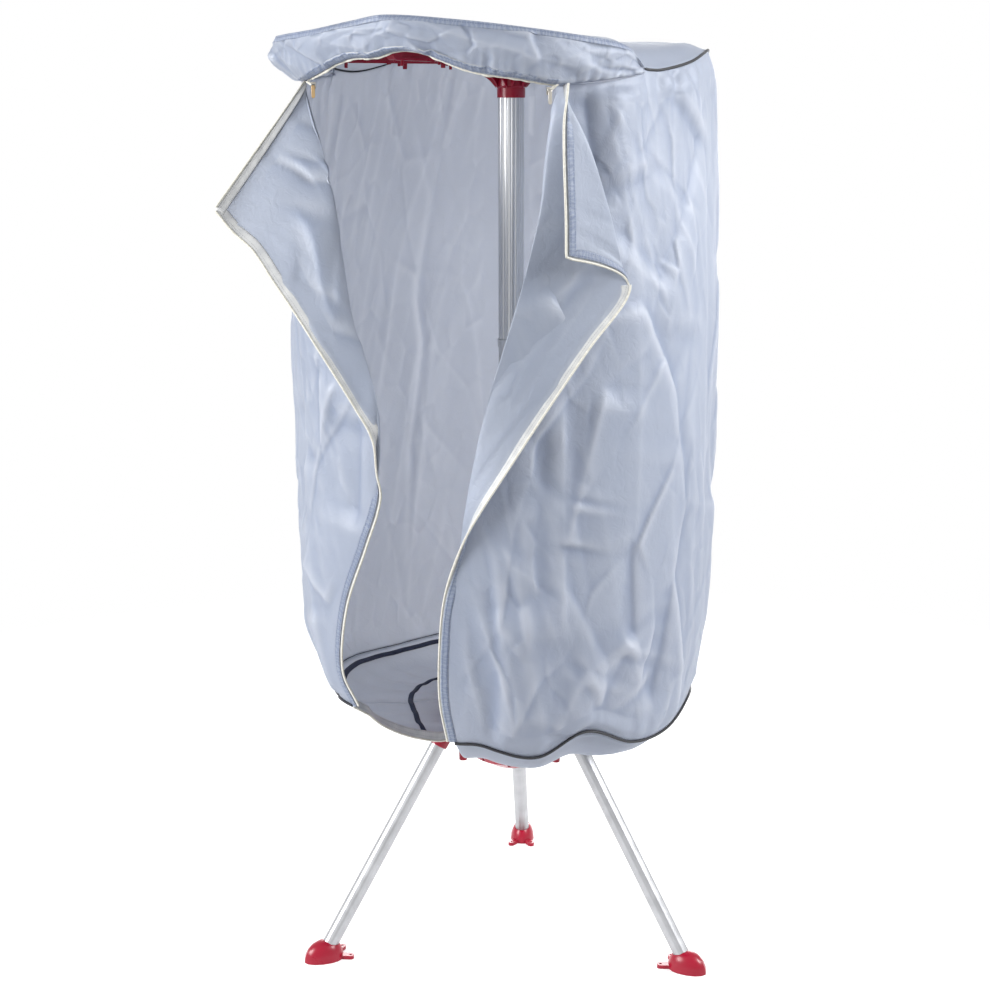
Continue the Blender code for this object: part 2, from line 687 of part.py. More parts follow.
def leg_knuckle(name, parent):
    """A sleeve for the tube with the hinge eye moulded on its upper end."""
    mouth = -KNUCKLE_REACH
    sleeve_top = -EYE_RADIUS * 0.55
    lip = KNUCKLE_RADIUS - GAP * 3
    profile = [
        (0, sleeve_top),
        (EYE_RADIUS, sleeve_top),
        (KNUCKLE_RADIUS, sleeve_top - EYE_RADIUS * 0.35),
        (KNUCKLE_RADIUS, mouth + GAP * 3),
        (lip, mouth),
        (0, mouth),
    ]
    knuckle = applied(turned(name, profile))
    across = turn(math.pi / 2, "X") @ shift(z=-EYE_WIDTH / 2)
    join(knuckle, cylinders(name + "_eye", EYE_RADIUS, EYE_WIDTH, [across], ROUND_STEPS))
    flat = EYE_WIDTH / 2 + OVERRUN
    sides = [shift(0, y * (EYE_WIDTH / 2 + EAR_GAP / 4 + flat / 2), 0) for y in (-1, 1)]
    cut(knuckle, boxes(name + "_sides", (EYE_RADIUS * 4, flat, EAR_RADIUS * 2 + GAP * 4), sides))
    bore = turn(math.pi / 2, "X") @ shift(z=-EYE_WIDTH)
    cut(knuckle, cylinders(name + "_bore", LEG_PIN_RADIUS + GAP, EYE_WIDTH * 2, [bore], SMALL_STEPS))
    socket = shift(z=mouth - OVERRUN)
    cut(knuckle, cylinders(name + "_socket", LEG_RADIUS + GAP, KNUCKLE_SOCKET + OVERRUN, [socket]))
    return place(knuckle, "crimson", parent)


def foot(name, parent):
    """A teardrop dome round the leg's end, nose outwards, with two slotted prongs behind."""
    shape = bmesh.new()
    rings = []
    for ring in range(FOOT_RINGS):
        rise = math.pi / 2 * ring / FOOT_RINGS
        size = math.cos(rise) ** 0.75
        height = FOOT_HEIGHT * math.sin(rise) - ANKLE_HEIGHT
        points = []
        for i in range(FOOT_POINTS):
            angle = 2 * math.pi * i / FOOT_POINTS
            reach = FOOT_NOSE if math.cos(angle) > 0 else FOOT_HEEL
            x = reach * size * math.cos(angle) + ANKLE_BACK
            y = FOOT_HALF_WIDTH * size * math.sin(angle)
            points.append(shape.verts.new((x, y, height)))
        rings.append(points)
    top = shape.verts.new((ANKLE_BACK, 0, FOOT_HEIGHT - ANKLE_HEIGHT))
    for lower, upper in zip(rings, rings[1:]):
        for i in range(FOOT_POINTS):
            j = (i + 1) % FOOT_POINTS
            shape.faces.new((lower[i], lower[j], upper[j], upper[i]))
    for i in range(FOOT_POINTS):
        shape.faces.new((rings[-1][i], rings[-1][(i + 1) % FOOT_POINTS], top))
    shape.faces.new(list(reversed(rings[0])))
    dome = from_bmesh(name, shape)
    prong = arc((PRONG_REACH - PRONG_HALF_WIDTH, 0), PRONG_HALF_WIDTH, -math.pi / 2, math.pi / 2, 9)
    prong += [(FOOT_HEEL / 2, PRONG_HALF_WIDTH), (FOOT_HEEL / 2, -PRONG_HALF_WIDTH)]
    lift = shift(z=PRONG_THICKNESS / 2 + GAP - ANKLE_HEIGHT)
    splay = [lift @ turn(math.pi + side * PRONG_SPLAY) for side in (-1, 1)]
    join(dome, plates(name + "_prongs", prong, PRONG_THICKNESS, splay))
    slot_middle = PRONG_REACH - PRONG_HALF_WIDTH
    slots = [at @ shift(slot_middle, 0, -PRONG_THICKNESS) for at in splay]
    cut(dome, cylinders(name + "_slots", PRONG_SLOT, PRONG_THICKNESS * 2, slots, SMALL_STEPS))
    hole = turn(-LEG_TILT, "Y") @ shift(z=-GAP)
    cut(dome, cylinders(name + "_hole", LEG_RADIUS + GAP, FOOT_HEIGHT * 2, [hole]))
    return place(dome, "crimson", parent)


def pin(name, radius, length, head_radius, head, parent, finish="steel"):
    """A headed pin along the parent's Y, centred on it."""
    half = length / 2
    profile = [(0, half), (radius, half), (radius, -half), (head_radius, -half), (head_radius, -half - head), (0, -half - head)]
    made = applied(turned(name, profile, SMALL_STEPS))
    made.rotation_euler = (math.pi / 2, 0, 0)
    return place(made, finish, parent)


def legs():
    for i in range(LEG_COUNT):
        name = f"leg_{i + 1}"
        azimuth = empty(name + "_azimuth", rotation=(0, 0, leg_azimuth(i)), parent=AIRER)
        seat = empty(name + "_seat", (LEG_PIVOT_RADIUS, 0, LEG_PIVOT_Z), parent=azimuth)
        hinge = empty(name + "_hinge", rotation=(0, -LEG_TILT, 0), parent=seat)
        ankle = empty(name + "_ankle", (0, 0, -LEG_LENGTH), (0, LEG_TILT, 0), hinge)
        leg_tube(name + "_tube", hinge)
        leg_knuckle(name + "_knuckle", hinge)
        foot(name + "_foot", ankle)
        clevis = EYE_WIDTH + 2 * (EAR_GAP + EAR_THICKNESS) + 2 * GAP
        pin(name + "_pin", LEG_PIN_RADIUS, clevis, PIN_HEAD_RADIUS, PIN_HEAD, seat)


# Heater pod


def heater_base():
    """The lower shell, a flared cup with an inlet in its floor and a ledge inside its rim."""
    foot_z, flare_z = POD_Z, POD_Z + POD_FLARE
    inner = POD_RADIUS - POD_WALL
    ledge = inner - LEDGE_WIDTH
    profile = [
        (INLET_RADIUS, foot_z + POD_FLOOR),
        (POD_FOOT_RADIUS - POD_WALL, foot_z + POD_FLOOR),
        (inner, flare_z),
        (inner, LEDGE_Z - LEDGE_THICKNESS - LEDGE_WIDTH),
        (ledge, LEDGE_Z - LEDGE_THICKNESS),
        (ledge, LEDGE_Z),
        (inner, LEDGE_Z),
        (inner, POD_RIM_Z),
        (POD_RADIUS, POD_RIM_Z),
        (POD_RADIUS, flare_z),
        (POD_FOOT_RADIUS, foot_z),
        (INLET_RADIUS, foot_z),
    ]
    base = applied(turned("heater_base", profile, WIDE_STEPS, closed=True))
    spindle = turn(TIMER_AZIMUTH) @ shift(POD_RADIUS - LEDGE_WIDTH * 2, 0, POD_Z + TIMER_HEIGHT) @ turn(math.pi / 2, "Y")
    cut(base, cylinders("spindle_hole", SPINDLE_RADIUS + KNOB_CLEARANCE, LEDGE_WIDTH * 4, [spindle], SMALL_STEPS))
    gland = turn(GLAND_AZIMUTH) @ shift(POD_FOOT_RADIUS - LEDGE_WIDTH * 2, 0, POD_Z + GLAND_HEIGHT) @ turn(math.pi / 2, "Y")
    cut(base, cylinders("gland_hole", GLAND_RADIUS + FACET_ROOM, LEDGE_WIDTH * 5, [gland], SMALL_STEPS))
    return place(base, "crimson")


def dome_profile(offset):
    """The dome from the pod's side to the socket, (radius, height), the surface moved in by the offset."""
    points = []
    steps = 6
    for i in range(steps):
        angle = math.pi / 2 * i / (steps - 1) * 0.86
        radius = SOCKET_RADIUS + (POD_RADIUS - SOCKET_RADIUS) * math.cos(angle)
        height = DOME_Z + POD_DOME * math.sin(angle)
        points.append((radius - offset * math.cos(angle), height - offset * math.sin(angle)))
    return points


def heater_cover():
    """The upper shell: a dome with outlet slots, and the socket that the pole stands in."""
    outer = dome_profile(0)
    inner = dome_profile(POD_WALL)
    bore = POLE_RADIUS + GAP
    neck = SOCKET_RADIUS + POD_WALL
    socket_floor = SOCKET_TOP_Z - SOCKET_DEPTH
    profile = [(POD_RADIUS - POD_WALL, SHELL_Z)]
    profile += inner
    profile += [(SOCKET_RADIUS - POD_WALL, socket_floor - POD_WALL * 2), (0, socket_floor - POD_WALL * 2)]
    profile = list(reversed(profile))
    rim = [(0, socket_floor), (bore, socket_floor), (bore, SOCKET_TOP_Z), (SOCKET_RADIUS, SOCKET_TOP_Z)]
    top = [(neck, DOME_Z + POD_DOME)]
    loop = rim + top + list(reversed(outer)) + [(POD_RADIUS, SHELL_Z)]
    loop += list(reversed(profile))
    shell = applied(turned("heater_cover", loop, WIDE_STEPS))
    middle = DOME_Z + POD_DOME * 0.62
    slope = shift(POD_RADIUS - OUTLET_INSET, 0, middle) @ turn(math.radians(38), "Y")
    slots = round_the_axis(OUTLET_SLOTS, slope)
    cut(shell, boxes("outlet_slots", (OUTLET_LENGTH, OUTLET_WIDTH, POD_DOME * 0.8), slots))
    return place(shell, "crimson")


def inlet_grille():
    """Rings on spokes, lying on the base shell's floor over the inlet."""
    low = POD_Z + POD_FLOOR + GAP
    rim = GRILLE_RADIUS - GRILLE_BAR * 2
    profile = [(rim, low), (rim, low + GRILLE_THICKNESS), (GRILLE_RADIUS, low + GRILLE_THICKNESS), (GRILLE_RADIUS, low)]
    grille = applied(turned("inlet_grille", profile, ROUND_STEPS, closed=True))
    rings = bmesh.new()
    for ring in range(1, GRILLE_RINGS):
        radius = rim * ring / GRILLE_RINGS
        loop = [
            (radius - GRILLE_BAR / 2, low),
            (radius - GRILLE_BAR / 2, low + GRILLE_THICKNESS),
            (radius + GRILLE_BAR / 2, low + GRILLE_THICKNESS),
            (radius + GRILLE_BAR / 2, low),
        ]
        piece = applied(turned("ring", loop, ROUND_STEPS, closed=True))
        rings.from_mesh(piece.data)
        bpy.data.objects.remove(piece, do_unlink=True)
    join(grille, from_bmesh("grille_rings", rings))
    bar = shift((rim + GRILLE_BAR) / 2, 0, low + GRILLE_THICKNESS / 2)
    spokes = round_the_axis(GRILLE_SPOKES, bar)
    size = (rim + GRILLE_BAR, GRILLE_BAR, GRILLE_THICKNESS - GAP * 2)
    join(grille, boxes("grille_spokes", size, spokes))
    return place(grille, "charcoal")


def bracket_z():
    return POD_Z + BRACKET_HEIGHT


def motor_bracket():
    """A ring over the fan on three arms, which reach the base shell's wall."""
    low = bracket_z()
    inner = SHAFT_RADIUS + SHAFT_CLEARANCE * 4
    profile = [(inner, low), (inner, low + BRACKET_THICKNESS), (BRACKET_RING, low + BRACKET_THICKNESS), (BRACKET_RING, low)]
    bracket = applied(turned("motor_bracket", profile, ROUND_STEPS, closed=True))
    reach = POD_RADIUS - POD_WALL - FACET_ROOM
    inside = BRACKET_RING - BRACKET_ARM / 2
    arm = shift((reach + inside) / 2, 0, low + BRACKET_THICKNESS / 2)
    arms = round_the_axis(LEG_COUNT, arm, leg_azimuth(0))
    size = (reach - inside, BRACKET_ARM, BRACKET_THICKNESS - GAP * 2)
    join(bracket, boxes("bracket_arms", size, arms))
    return place(bracket, "charcoal")


def fan_motor():
    low = bracket_z() + BRACKET_THICKNESS + GAP
    bore = SHAFT_RADIUS + SHAFT_CLEARANCE
    top = low + MOTOR_HEIGHT
    profile = [
        (0, low + MOTOR_BORE_DEPTH),
        (bore, low + MOTOR_BORE_DEPTH),
        (bore, low),
        (MOTOR_RADIUS, low),
        (MOTOR_RADIUS, top),
        (0, top),
    ]
    return place(turned("fan_motor", list(reversed(profile)), ROUND_STEPS), "steel")


def fan_impeller():
    """Pitched blades round a domed hub, on the shaft that turns in the motor."""
    low = POD_Z + POD_FLOOR + GRILLE_THICKNESS + FAN_FLOOR_CLEARANCE
    high = low + FAN_HUB_HEIGHT
    shaft_top = bracket_z() + BRACKET_THICKNESS + MOTOR_BORE_DEPTH - SHAFT_CLEARANCE
    profile = [
        (0, shaft_top),
        (SHAFT_RADIUS, shaft_top),
        (SHAFT_RADIUS, high),
        (FAN_HUB_RADIUS * 0.8, high),
        (FAN_HUB_RADIUS, high - FAN_HUB_RADIUS * 0.2),
        (FAN_HUB_RADIUS, low),
        (0, low),
    ]
    hub = empty("fan_axis", parent=AIRER)
    fan = applied(turned("fan_impeller", profile, ROUND_STEPS))
    length = FAN_RADIUS - FAN_HUB_RADIUS * 0.8
    blade = shift(FAN_HUB_RADIUS * 0.8 + length / 2, 0, (low + high) / 2) @ turn(FAN_BLADE_PITCH, "X")
    size = (length, FAN_BLADE_HEIGHT, FAN_BLADE_THICKNESS)
    join(fan, boxes("fan_blades", size, round_the_axis(FAN_BLADES, blade)))
    return place(fan, "charcoal", hub)


def element_frame():
    """The plate on the base shell's ledge, with the window that the heating element stands over."""
    low = LEDGE_Z + GAP
    radius = POD_RADIUS - POD_WALL - GAP
    across = ELEMENT_LENGTH / 2 - FRAME_THICKNESS
    along = ELEMENT_WIDTH / 2 - FRAME_THICKNESS
    outline = arc((0, 0), radius, 0, 2 * math.pi * (1 - 1 / WIDE_STEPS), WIDE_STEPS)
    window = [(-across, -along), (across, -along), (across, along), (-across, along)]
    plate = flat_curve("element_frame", [outline, window], FRAME_THICKNESS)
    plate.location = (0, 0, low + FRAME_THICKNESS / 2)
    return place(plate, "ceramic")


def ptc_element():
    """The heating element, a bar block with cooling fins on top."""
    low = LEDGE_Z + GAP + FRAME_THICKNESS + GAP
    shape = bmesh.new()
    base = ELEMENT_HEIGHT - FIN_RISE
    add_box(shape, (ELEMENT_LENGTH, ELEMENT_WIDTH, base), shift(z=low + base / 2))
    block = from_bmesh("ptc_element", shape)
    pitch = ELEMENT_LENGTH / ELEMENT_FINS
    places = [shift((i + 0.5) * pitch - ELEMENT_LENGTH / 2, 0, low + ELEMENT_HEIGHT / 2) for i in range(ELEMENT_FINS)]
    join(block, boxes("element_fins", (FIN_THICKNESS, ELEMENT_WIDTH - GAP * 2, ELEMENT_HEIGHT - GAP * 2), places))
    return place(block, "aluminium", smooth=False)


def thermal_cutout():
    low = LEDGE_Z + GAP + FRAME_THICKNESS + GAP
    at = turn(TIMER_AZIMUTH + math.pi / 2) @ shift(CUTOUT_PLACE, 0, low)
    return place(cylinders("thermal_cutout", CUTOUT_RADIUS, CUTOUT_HEIGHT, [at], SMALL_STEPS), "steel")


def timer_pieces():
    """The clockwork timer inside the wall, and the knob on its spindle outside."""
    height = POD_Z + TIMER_HEIGHT
    wall = POD_RADIUS - POD_WALL
    axis = empty("timer_axis", (0, 0, height), (0, 0, TIMER_AZIMUTH), AIRER)
    depth, width, tall = TIMER_SIZE
    back = wall - math.hypot(0, width / 2) * 0.12 - depth - GAP
    body = boxes("timer_module", TIMER_SIZE, [shift(back + depth / 2)])
    hole = shift(back + depth - SPINDLE_REACH) @ turn(math.pi / 2, "Y")
    cut(place(body, "charcoal", axis, smooth=False), cylinders("timer_hole", SPINDLE_RADIUS + KNOB_CLEARANCE, SPINDLE_REACH * 2, [hole], SMALL_STEPS))
    face = POD_RADIUS + KNOB_CLEARANCE
    inner_end = back + depth - SPINDLE_REACH + KNOB_CLEARANCE
    profile = [
        (0, face + KNOB_DEPTH),
        (KNOB_RADIUS - KNOB_CLEARANCE, face + KNOB_DEPTH),
        (KNOB_RADIUS, face + KNOB_DEPTH - KNOB_CLEARANCE),
        (KNOB_RADIUS, face),
        (SPINDLE_RADIUS, face),
        (SPINDLE_RADIUS, inner_end),
        (0, inner_end),
    ]
    knob = applied(turned("timer_knob", profile, ROUND_STEPS))
    grip_depth = KNOB_DEPTH / 2
    sides = []
    for side in (-1, 1):
        offset = side * (KNOB_GRIP + KNOB_RADIUS / 2)
        sides.append(shift(0, offset, face + KNOB_DEPTH - grip_depth / 2 + OVERRUN / 2))
    cut(knob, boxes("knob_sides", (KNOB_RADIUS * 3, KNOB_RADIUS, grip_depth + OVERRUN), sides))
    for helper in (knob, bpy.data.objects["knob_sides"]):
        helper.rotation_euler = (0, math.pi / 2, 0)
    place(knob, "charcoal", axis)
    bpy.data.objects["knob_sides"].parent = axis


def cord_entry():
    """The cable gland in the shell's side and the terminal block behind it. The cord is not part of the model."""
    axis = empty("gland_axis", (0, 0, POD_Z + GLAND_HEIGHT), (0, 0, GLAND_AZIMUTH), AIRER)
    inner = POD_FOOT_RADIUS - POD_WALL * 2
    outer = inner + GLAND_LENGTH + POD_WALL * 2
    profile = [(GLAND_BORE, inner), (GLAND_BORE, outer), (GLAND_RADIUS * 0.7, outer), (GLAND_RADIUS, outer - GLAND_LENGTH / 2), (GLAND_RADIUS, inner)]
    gland = applied(turned("cable_gland", profile, SMALL_STEPS, closed=True))
    gland.rotation_euler = (0, math.pi / 2, 0)
    place(gland, "charcoal", axis)
    low = POD_Z + POD_FLOOR + GAP
    at = turn(GLAND_AZIMUTH) @ shift(POD_FOOT_RADIUS - TERMINAL_INSET, 0, low + TERMINAL_SIZE[2] / 2)
    place(boxes("terminal_block", TERMINAL_SIZE, [at]), "ceramic", smooth=False)


# Pole


def fluted_section(name, low, length):
    outer = []
    for i in range(POLE_FLUTES * 4):
        depth = FLUTE_DEPTH if i % 4 == 0 else 0.0
        angle = 2 * math.pi * i / (POLE_FLUTES * 4)
        outer.append(((POLE_RADIUS - depth) * math.cos(angle), (POLE_RADIUS - depth) * math.sin(angle)))
    bore = arc((0, 0), POLE_BORE, 0, 2 * math.pi * (1 - 1 / ROUND_STEPS), ROUND_STEPS)
    section = flat_curve(name, [outer, bore], length)
    section.location = (0, 0, low + length / 2)
    return place(section, "aluminium")


def pole_joiner():
    """The ring between the pole's sections, with a spigot into each."""
    low, high = JOINER_Z, JOINER_Z + JOINER_HEIGHT
    spigot = POLE_BORE - GAP
    tip = spigot - SPIGOT_CHAMFER
    profile = [
        (0, high + SPIGOT_LENGTH),
        (tip, high + SPIGOT_LENGTH),
        (spigot, high + SPIGOT_LENGTH - SPIGOT_CHAMFER),
        (spigot, high),
        (JOINER_RADIUS, high),
        (JOINER_RADIUS, low),
        (spigot, low),
        (spigot, low - SPIGOT_LENGTH + SPIGOT_CHAMFER),
        (tip, low - SPIGOT_LENGTH),
        (0, low - SPIGOT_LENGTH),
    ]
    return place(turned("pole_joiner", profile, ROUND_STEPS), "crimson")


# Top hub and arms


def arm_azimuth(index):
    return ARM_AZIMUTH + 2 * math.pi * index / ARM_COUNT


def top_hub():
    """A socket on the pole that flares into six pairs of ribs, the cheeks that the arms fold between."""
    bore = POLE_RADIUS + GAP
    top = PLATE_Z + HUB_PLATE_THICKNESS
    flare = COLLAR_Z + COLLAR_HEIGHT
    profile = [
        (0, top),
        (FLARE_RADIUS, top),
        (FLARE_RADIUS, PLATE_Z),
        (COLLAR_RADIUS + CHEEK_THICKNESS, PLATE_Z),
        (COLLAR_RADIUS + CHEEK_THICKNESS, flare + CHEEK_THICKNESS),
        (COLLAR_RADIUS, flare),
        (COLLAR_RADIUS, COLLAR_Z),
        (bore, COLLAR_Z),
        (bore, COLLAR_Z + TOP_SOCKET_DEPTH),
        (0, COLLAR_Z + TOP_SOCKET_DEPTH),
    ]
    hub = applied(turned("top_hub", profile, WIDE_STEPS))
    cheek = []
    for radius_share, rise_share in zip(FLARE_RADIUS_SHARES, FLARE_RISE_SHARES):
        cheek.append((FLARE_RADIUS * radius_share, flare + FLARE_HEIGHT * rise_share))
    cheek += [(FLARE_RADIUS, PLATE_Z + HUB_PLATE_THICKNESS / 2), (FLARE_RADIUS * FLARE_RADIUS_SHARES[0], PLATE_Z + HUB_PLATE_THICKNESS / 2)]
    side = ARM_WIDTH / 2 + CHEEK_GAP + CHEEK_THICKNESS / 2
    places = []
    for i in range(ARM_COUNT):
        for offset in (-side, side):
            places.append(turn(arm_azimuth(i)) @ shift(y=offset) @ turn(math.pi / 2, "X"))
    join(hub, plates("hub_cheeks", cheek, CHEEK_THICKNESS, places))
    across = shift(ARM_PIVOT_RADIUS, 0, ARM_Z) @ turn(math.pi / 2, "X") @ shift(z=-ARM_WIDTH)
    holes = round_the_axis(ARM_COUNT, across, ARM_AZIMUTH)
    cut(hub, cylinders("arm_pin_holes", ARM_PIN_RADIUS + GAP, ARM_WIDTH * 2, holes, SMALL_STEPS))
    return place(hub, "crimson")


def top_cap():
    profile = [(0, CAP_Z + CAP_HEIGHT), (CAP_RADIUS * 0.55, CAP_Z + CAP_HEIGHT * 0.86), (CAP_RADIUS, CAP_Z + CAP_HEIGHT * 0.3), (CAP_RADIUS, CAP_Z), (0, CAP_Z)]
    return place(turned("top_cap", profile, ROUND_STEPS), "crimson")


def arm(name, parent):
    """A tapering bar with a recess along each side and pegs under it that keep hangers apart."""
    length = ARM_REACH - ARM_PIVOT_RADIUS
    root, tip = ARM_HEIGHT / 2, ARM_TIP_HEIGHT / 2
    drop = root - ARM_TIP_HEIGHT
    outline = arc((0, 0), root, math.pi / 2, 3 * math.pi / 2, 9)
    outline += [(length - tip, drop)] + arc((length - tip, drop + tip), tip, -math.pi / 2, math.pi / 2, 9)[1:]
    bar = plates(name, outline, ARM_WIDTH, [turn(math.pi / 2, "X")])
    middle = length / 2 + root / 2
    long = length - ARM_HEIGHT * 2.5
    tall = ARM_TIP_HEIGHT - ARM_RECESS_MARGIN * 2
    places = []
    for side in (-1, 1):
        places.append(shift(middle, side * ARM_WIDTH / 2, (root + drop) / 2))
    cut(bar, boxes(name + "_recess", (long, ARM_RECESS * 2, tall), places))
    pegs = bmesh.new()
    for share, radius, depth in zip(PEG_REACH_SHARES, PEG_RADII, PEG_DROPS):
        along = ARM_REACH * share - ARM_PIVOT_RADIUS
        under = -root + (drop + root) * along / length
        at = shift(along, 0, under - depth)
        add_cylinder(pegs, radius * 0.8, depth + root, at, PEG_STEPS, radius)
    join(bar, from_bmesh(name + "_pegs", pegs))
    hole = turn(math.pi / 2, "X") @ shift(z=-ARM_WIDTH)
    cut(bar, cylinders(name + "_hole", ARM_PIN_RADIUS + GAP, ARM_WIDTH * 2, [hole], SMALL_STEPS))
    return place(bar, "crimson", parent)


def arms():
    for i in range(ARM_COUNT):
        name = f"arm_{i + 1}"
        azimuth = empty(name + "_azimuth", rotation=(0, 0, arm_azimuth(i)), parent=AIRER)
        hinge = empty(name + "_hinge", (ARM_PIVOT_RADIUS, 0, ARM_Z), parent=azimuth)
        arm(name, hinge)
        length = ARM_WIDTH + 2 * (CHEEK_GAP + CHEEK_THICKNESS)
        pin(name + "_pin", ARM_PIN_RADIUS, length + GAP, ARM_PIN_RADIUS * 1.5, GAP * 2, hinge)


# Cover


def cover_point(azimuth, radius, height):
    """A point round the cover's own middle, from an azimuth in degrees."""
    angle = math.radians(azimuth)
    return np.array([COVER_LEAN + radius * math.cos(angle), radius * math.sin(angle), height])


def wrapped(azimuth):
    first, last = RIM_SHARES[0][0], RIM_SHARES[-1][0]
    return first + (azimuth - first) % (last - first)


def rim(azimuth):
    """Radius and height of the top seam."""
    radius, rise = follow(RIM_SHARES, wrapped(azimuth))
    return COVER_RADIUS * radius, ARM_TOP_Z + LID_RISE * rise


def lid_edge(azimuth):
    radius, rise = follow(LID_EDGE_SHARES, azimuth)
    return COVER_RADIUS * radius, ARM_TOP_Z + LID_RISE * rise


def lid_azimuth(azimuth):
    """The azimuth in the lid's own range, or None where the wall runs up to the top seam."""
    for turned_by in (0, -360):
        if LID_RANGE[0] - BACK_GAP <= azimuth + turned_by <= LID_RANGE[1] + BACK_GAP:
            return azimuth + turned_by
    return None


def wall_top(azimuth):
    on_lid = lid_azimuth(azimuth)
    if on_lid is None:
        radius, height = rim(azimuth)
        return radius, height - PIPING_RADIUS - SEAM_GAP
    return lid_edge(on_lid)[0], lid_edge(on_lid)[1] - FABRIC


def wall_bottom(azimuth):
    share = follow(BOTTOM_SHARES, azimuth if azimuth > BOTTOM_SHARES[0][0] else azimuth + 360)[0]
    return COVER_RADIUS * WALL_PROFILE_SHARES[0][1], COVER_BASE_Z + COVER_HEIGHT * share


def folds(azimuth, share):
    """Soft upright folds, deepest under the top seam."""
    angle = math.radians(azimuth)
    waves = math.sin(7 * angle + 0.6) + 0.6 * math.sin(12 * angle + 2.1)
    return FOLD_DEPTH * waves * math.sin(math.pi * share) ** 0.5 * (0.35 + 0.65 * share)


def wall_point(azimuth, share):
    """A point of the wall between its bottom and top seams."""
    low_radius, low = wall_bottom(azimuth)
    top_radius, high = wall_top(azimuth)
    height = low + (high - low) * share
    radius = COVER_RADIUS * follow(WALL_PROFILE_SHARES, share)[0]
    blend = share**8
    radius = radius * (1 - blend) + top_radius * blend + folds(azimuth, share)
    return cover_point(azimuth, radius, height)


def column_azimuths():
    """Azimuths round the whole cover, closest together over the arms, which hold it up."""
    found = []
    for i in range(ARM_COUNT):
        tip = (ARM_REACH * math.cos(arm_azimuth(i)) - COVER_LEAN, ARM_REACH * math.sin(arm_azimuth(i)))
        middle = math.degrees(math.atan2(tip[1], tip[0]))
        found += [wrapped(middle + share * math.degrees(2 * math.pi / ARM_COUNT)) for share in COLUMN_SHARES]
    margin = math.degrees(LID_END)
    ends = [wrapped(LID_RANGE[0]), wrapped(LID_RANGE[0] - margin), LID_RANGE[1], LID_RANGE[1] + margin]
    found = [azimuth for azimuth in found if min(abs(azimuth - end) for end in ends) > margin]
    return sorted(found + ends)


BACK = math.degrees(BACK_SEAM)
BACK_GAP = math.degrees(BACK_SEAM_GAP)
COLUMNS = column_azimuths()
LEFT_COLUMNS = [BACK + BACK_GAP] + [a for a in COLUMNS if a > BACK + 2] + [a + 360 for a in COLUMNS if a + 360 < 360 + LEFT_SHARES[-1][1] - 4]
RIGHT_COLUMNS = [BACK - BACK_GAP] + [a for a in reversed(COLUMNS) if RIGHT_SHARES[-1][1] + 3 < a < BACK - 2]


def smooth_step(t):
    t = min(max(t, 0.0), 1.0)
    return t * t * (3 - 2 * t)


def bezier(points, t):
    a, b, c, d = points
    s = 1 - t
    return a * s**3 + 3 * b * s * s * t + 3 * c * s * t * t + d * t**3


def unit(vector):
    return vector / max(np.linalg.norm(vector), 1e-9)


def wall_row(columns, fold, edge, share, top_fold):
    """One row of a wall: from the back seam round to the fold, and over it to the free edge."""
    fold_azimuth, fold_radius, fold_height = fold
    start = columns[0]
    full_turn = 360 if columns[-1] > start else 0
    fold_turned = fold_azimuth + full_turn
    reach = (fold_turned - start) / (top_fold + full_turn - start)
    row = []
    for azimuth in columns:
        at = start + (azimuth - start) * reach
        point = wall_point(at, share)
        near = smooth_step(1 - abs(fold_turned - at) / math.degrees(FOLD_EASE))
        middle = np.array([COVER_LEAN, 0, 0])
        flat = point - middle
        radius = np.linalg.norm(flat[:2])
        wanted = COVER_RADIUS * fold_radius
        flat[:2] *= (radius + (wanted - radius) * near) / radius
        point = flat + middle
        point[2] += (COVER_BASE_Z + COVER_HEIGHT * fold_height - point[2]) * near
        row.append(point)
    corner = cover_point(fold_azimuth, COVER_RADIUS * fold_radius, COVER_BASE_Z + COVER_HEIGHT * fold_height)
    free = cover_point(edge[0], COVER_RADIUS * edge[1], COVER_BASE_Z + COVER_HEIGHT * edge[2])
    free = free - unit(free - corner) * TAPE_WIDTH
    return row, corner, free


def rolled(corner, ahead, free, roll, spread, count):
    """Points from a fold to a free edge, over a roll that first runs on ahead."""
    outward = unit(np.array([corner[0] - COVER_LEAN, corner[1], 0]))
    points = (corner, corner + ahead * roll, free * 0.45 + corner * 0.55 + outward * spread, free)
    return [bezier(points, i / count) for i in range(count + 1)]


def side_rows(columns, table):
    rows = []
    for j in range(WALL_ROWS + 1):
        share = j / WALL_ROWS
        values = follow(table, share)
        row, corner, free = wall_row(columns, values[:3], values[3:], share, table[-1][1])
        ahead = unit(corner - row[-1])
        along = np.dot(unit(free - corner), ahead)
        back = 1 - smooth_step(along)
        reach = np.linalg.norm(free - corner)
        back *= min(reach / LAPEL_FULL, 1)
        roll = FOLD_ROLL * back + reach * 0.4 * (1 - back)
        rows.append((row, rolled(corner, ahead, free, roll, LAPEL_SPREAD * back, FLAP_COLUMNS)))
    return rows


def sheet(name, rows, finish, thickness=FABRIC, wrap=False, pole=None):
    """Cloth of one thickness on a grid of points. Rows may end at different columns."""
    shape = bmesh.new()
    grid = [[shape.verts.new(point) for point in row] for row in rows]
    for lower, upper in zip(grid, grid[1:]):
        count = min(len(lower), len(upper))
        last = count if wrap else count - 1
        for i in range(last):
            j = (i + 1) % count
            shape.faces.new((lower[i], lower[j], upper[j], upper[i]))
    if pole is not None:
        tip = shape.verts.new(pole)
        for i in range(len(grid[0])):
            shape.faces.new((grid[0][(i + 1) % len(grid[0])], grid[0][i], tip))
    cloth = from_bmesh(name, shape)
    solid = cloth.modifiers.new("cloth", "SOLIDIFY")
    solid.thickness = thickness
    solid.offset = 0
    return place(cloth, finish)


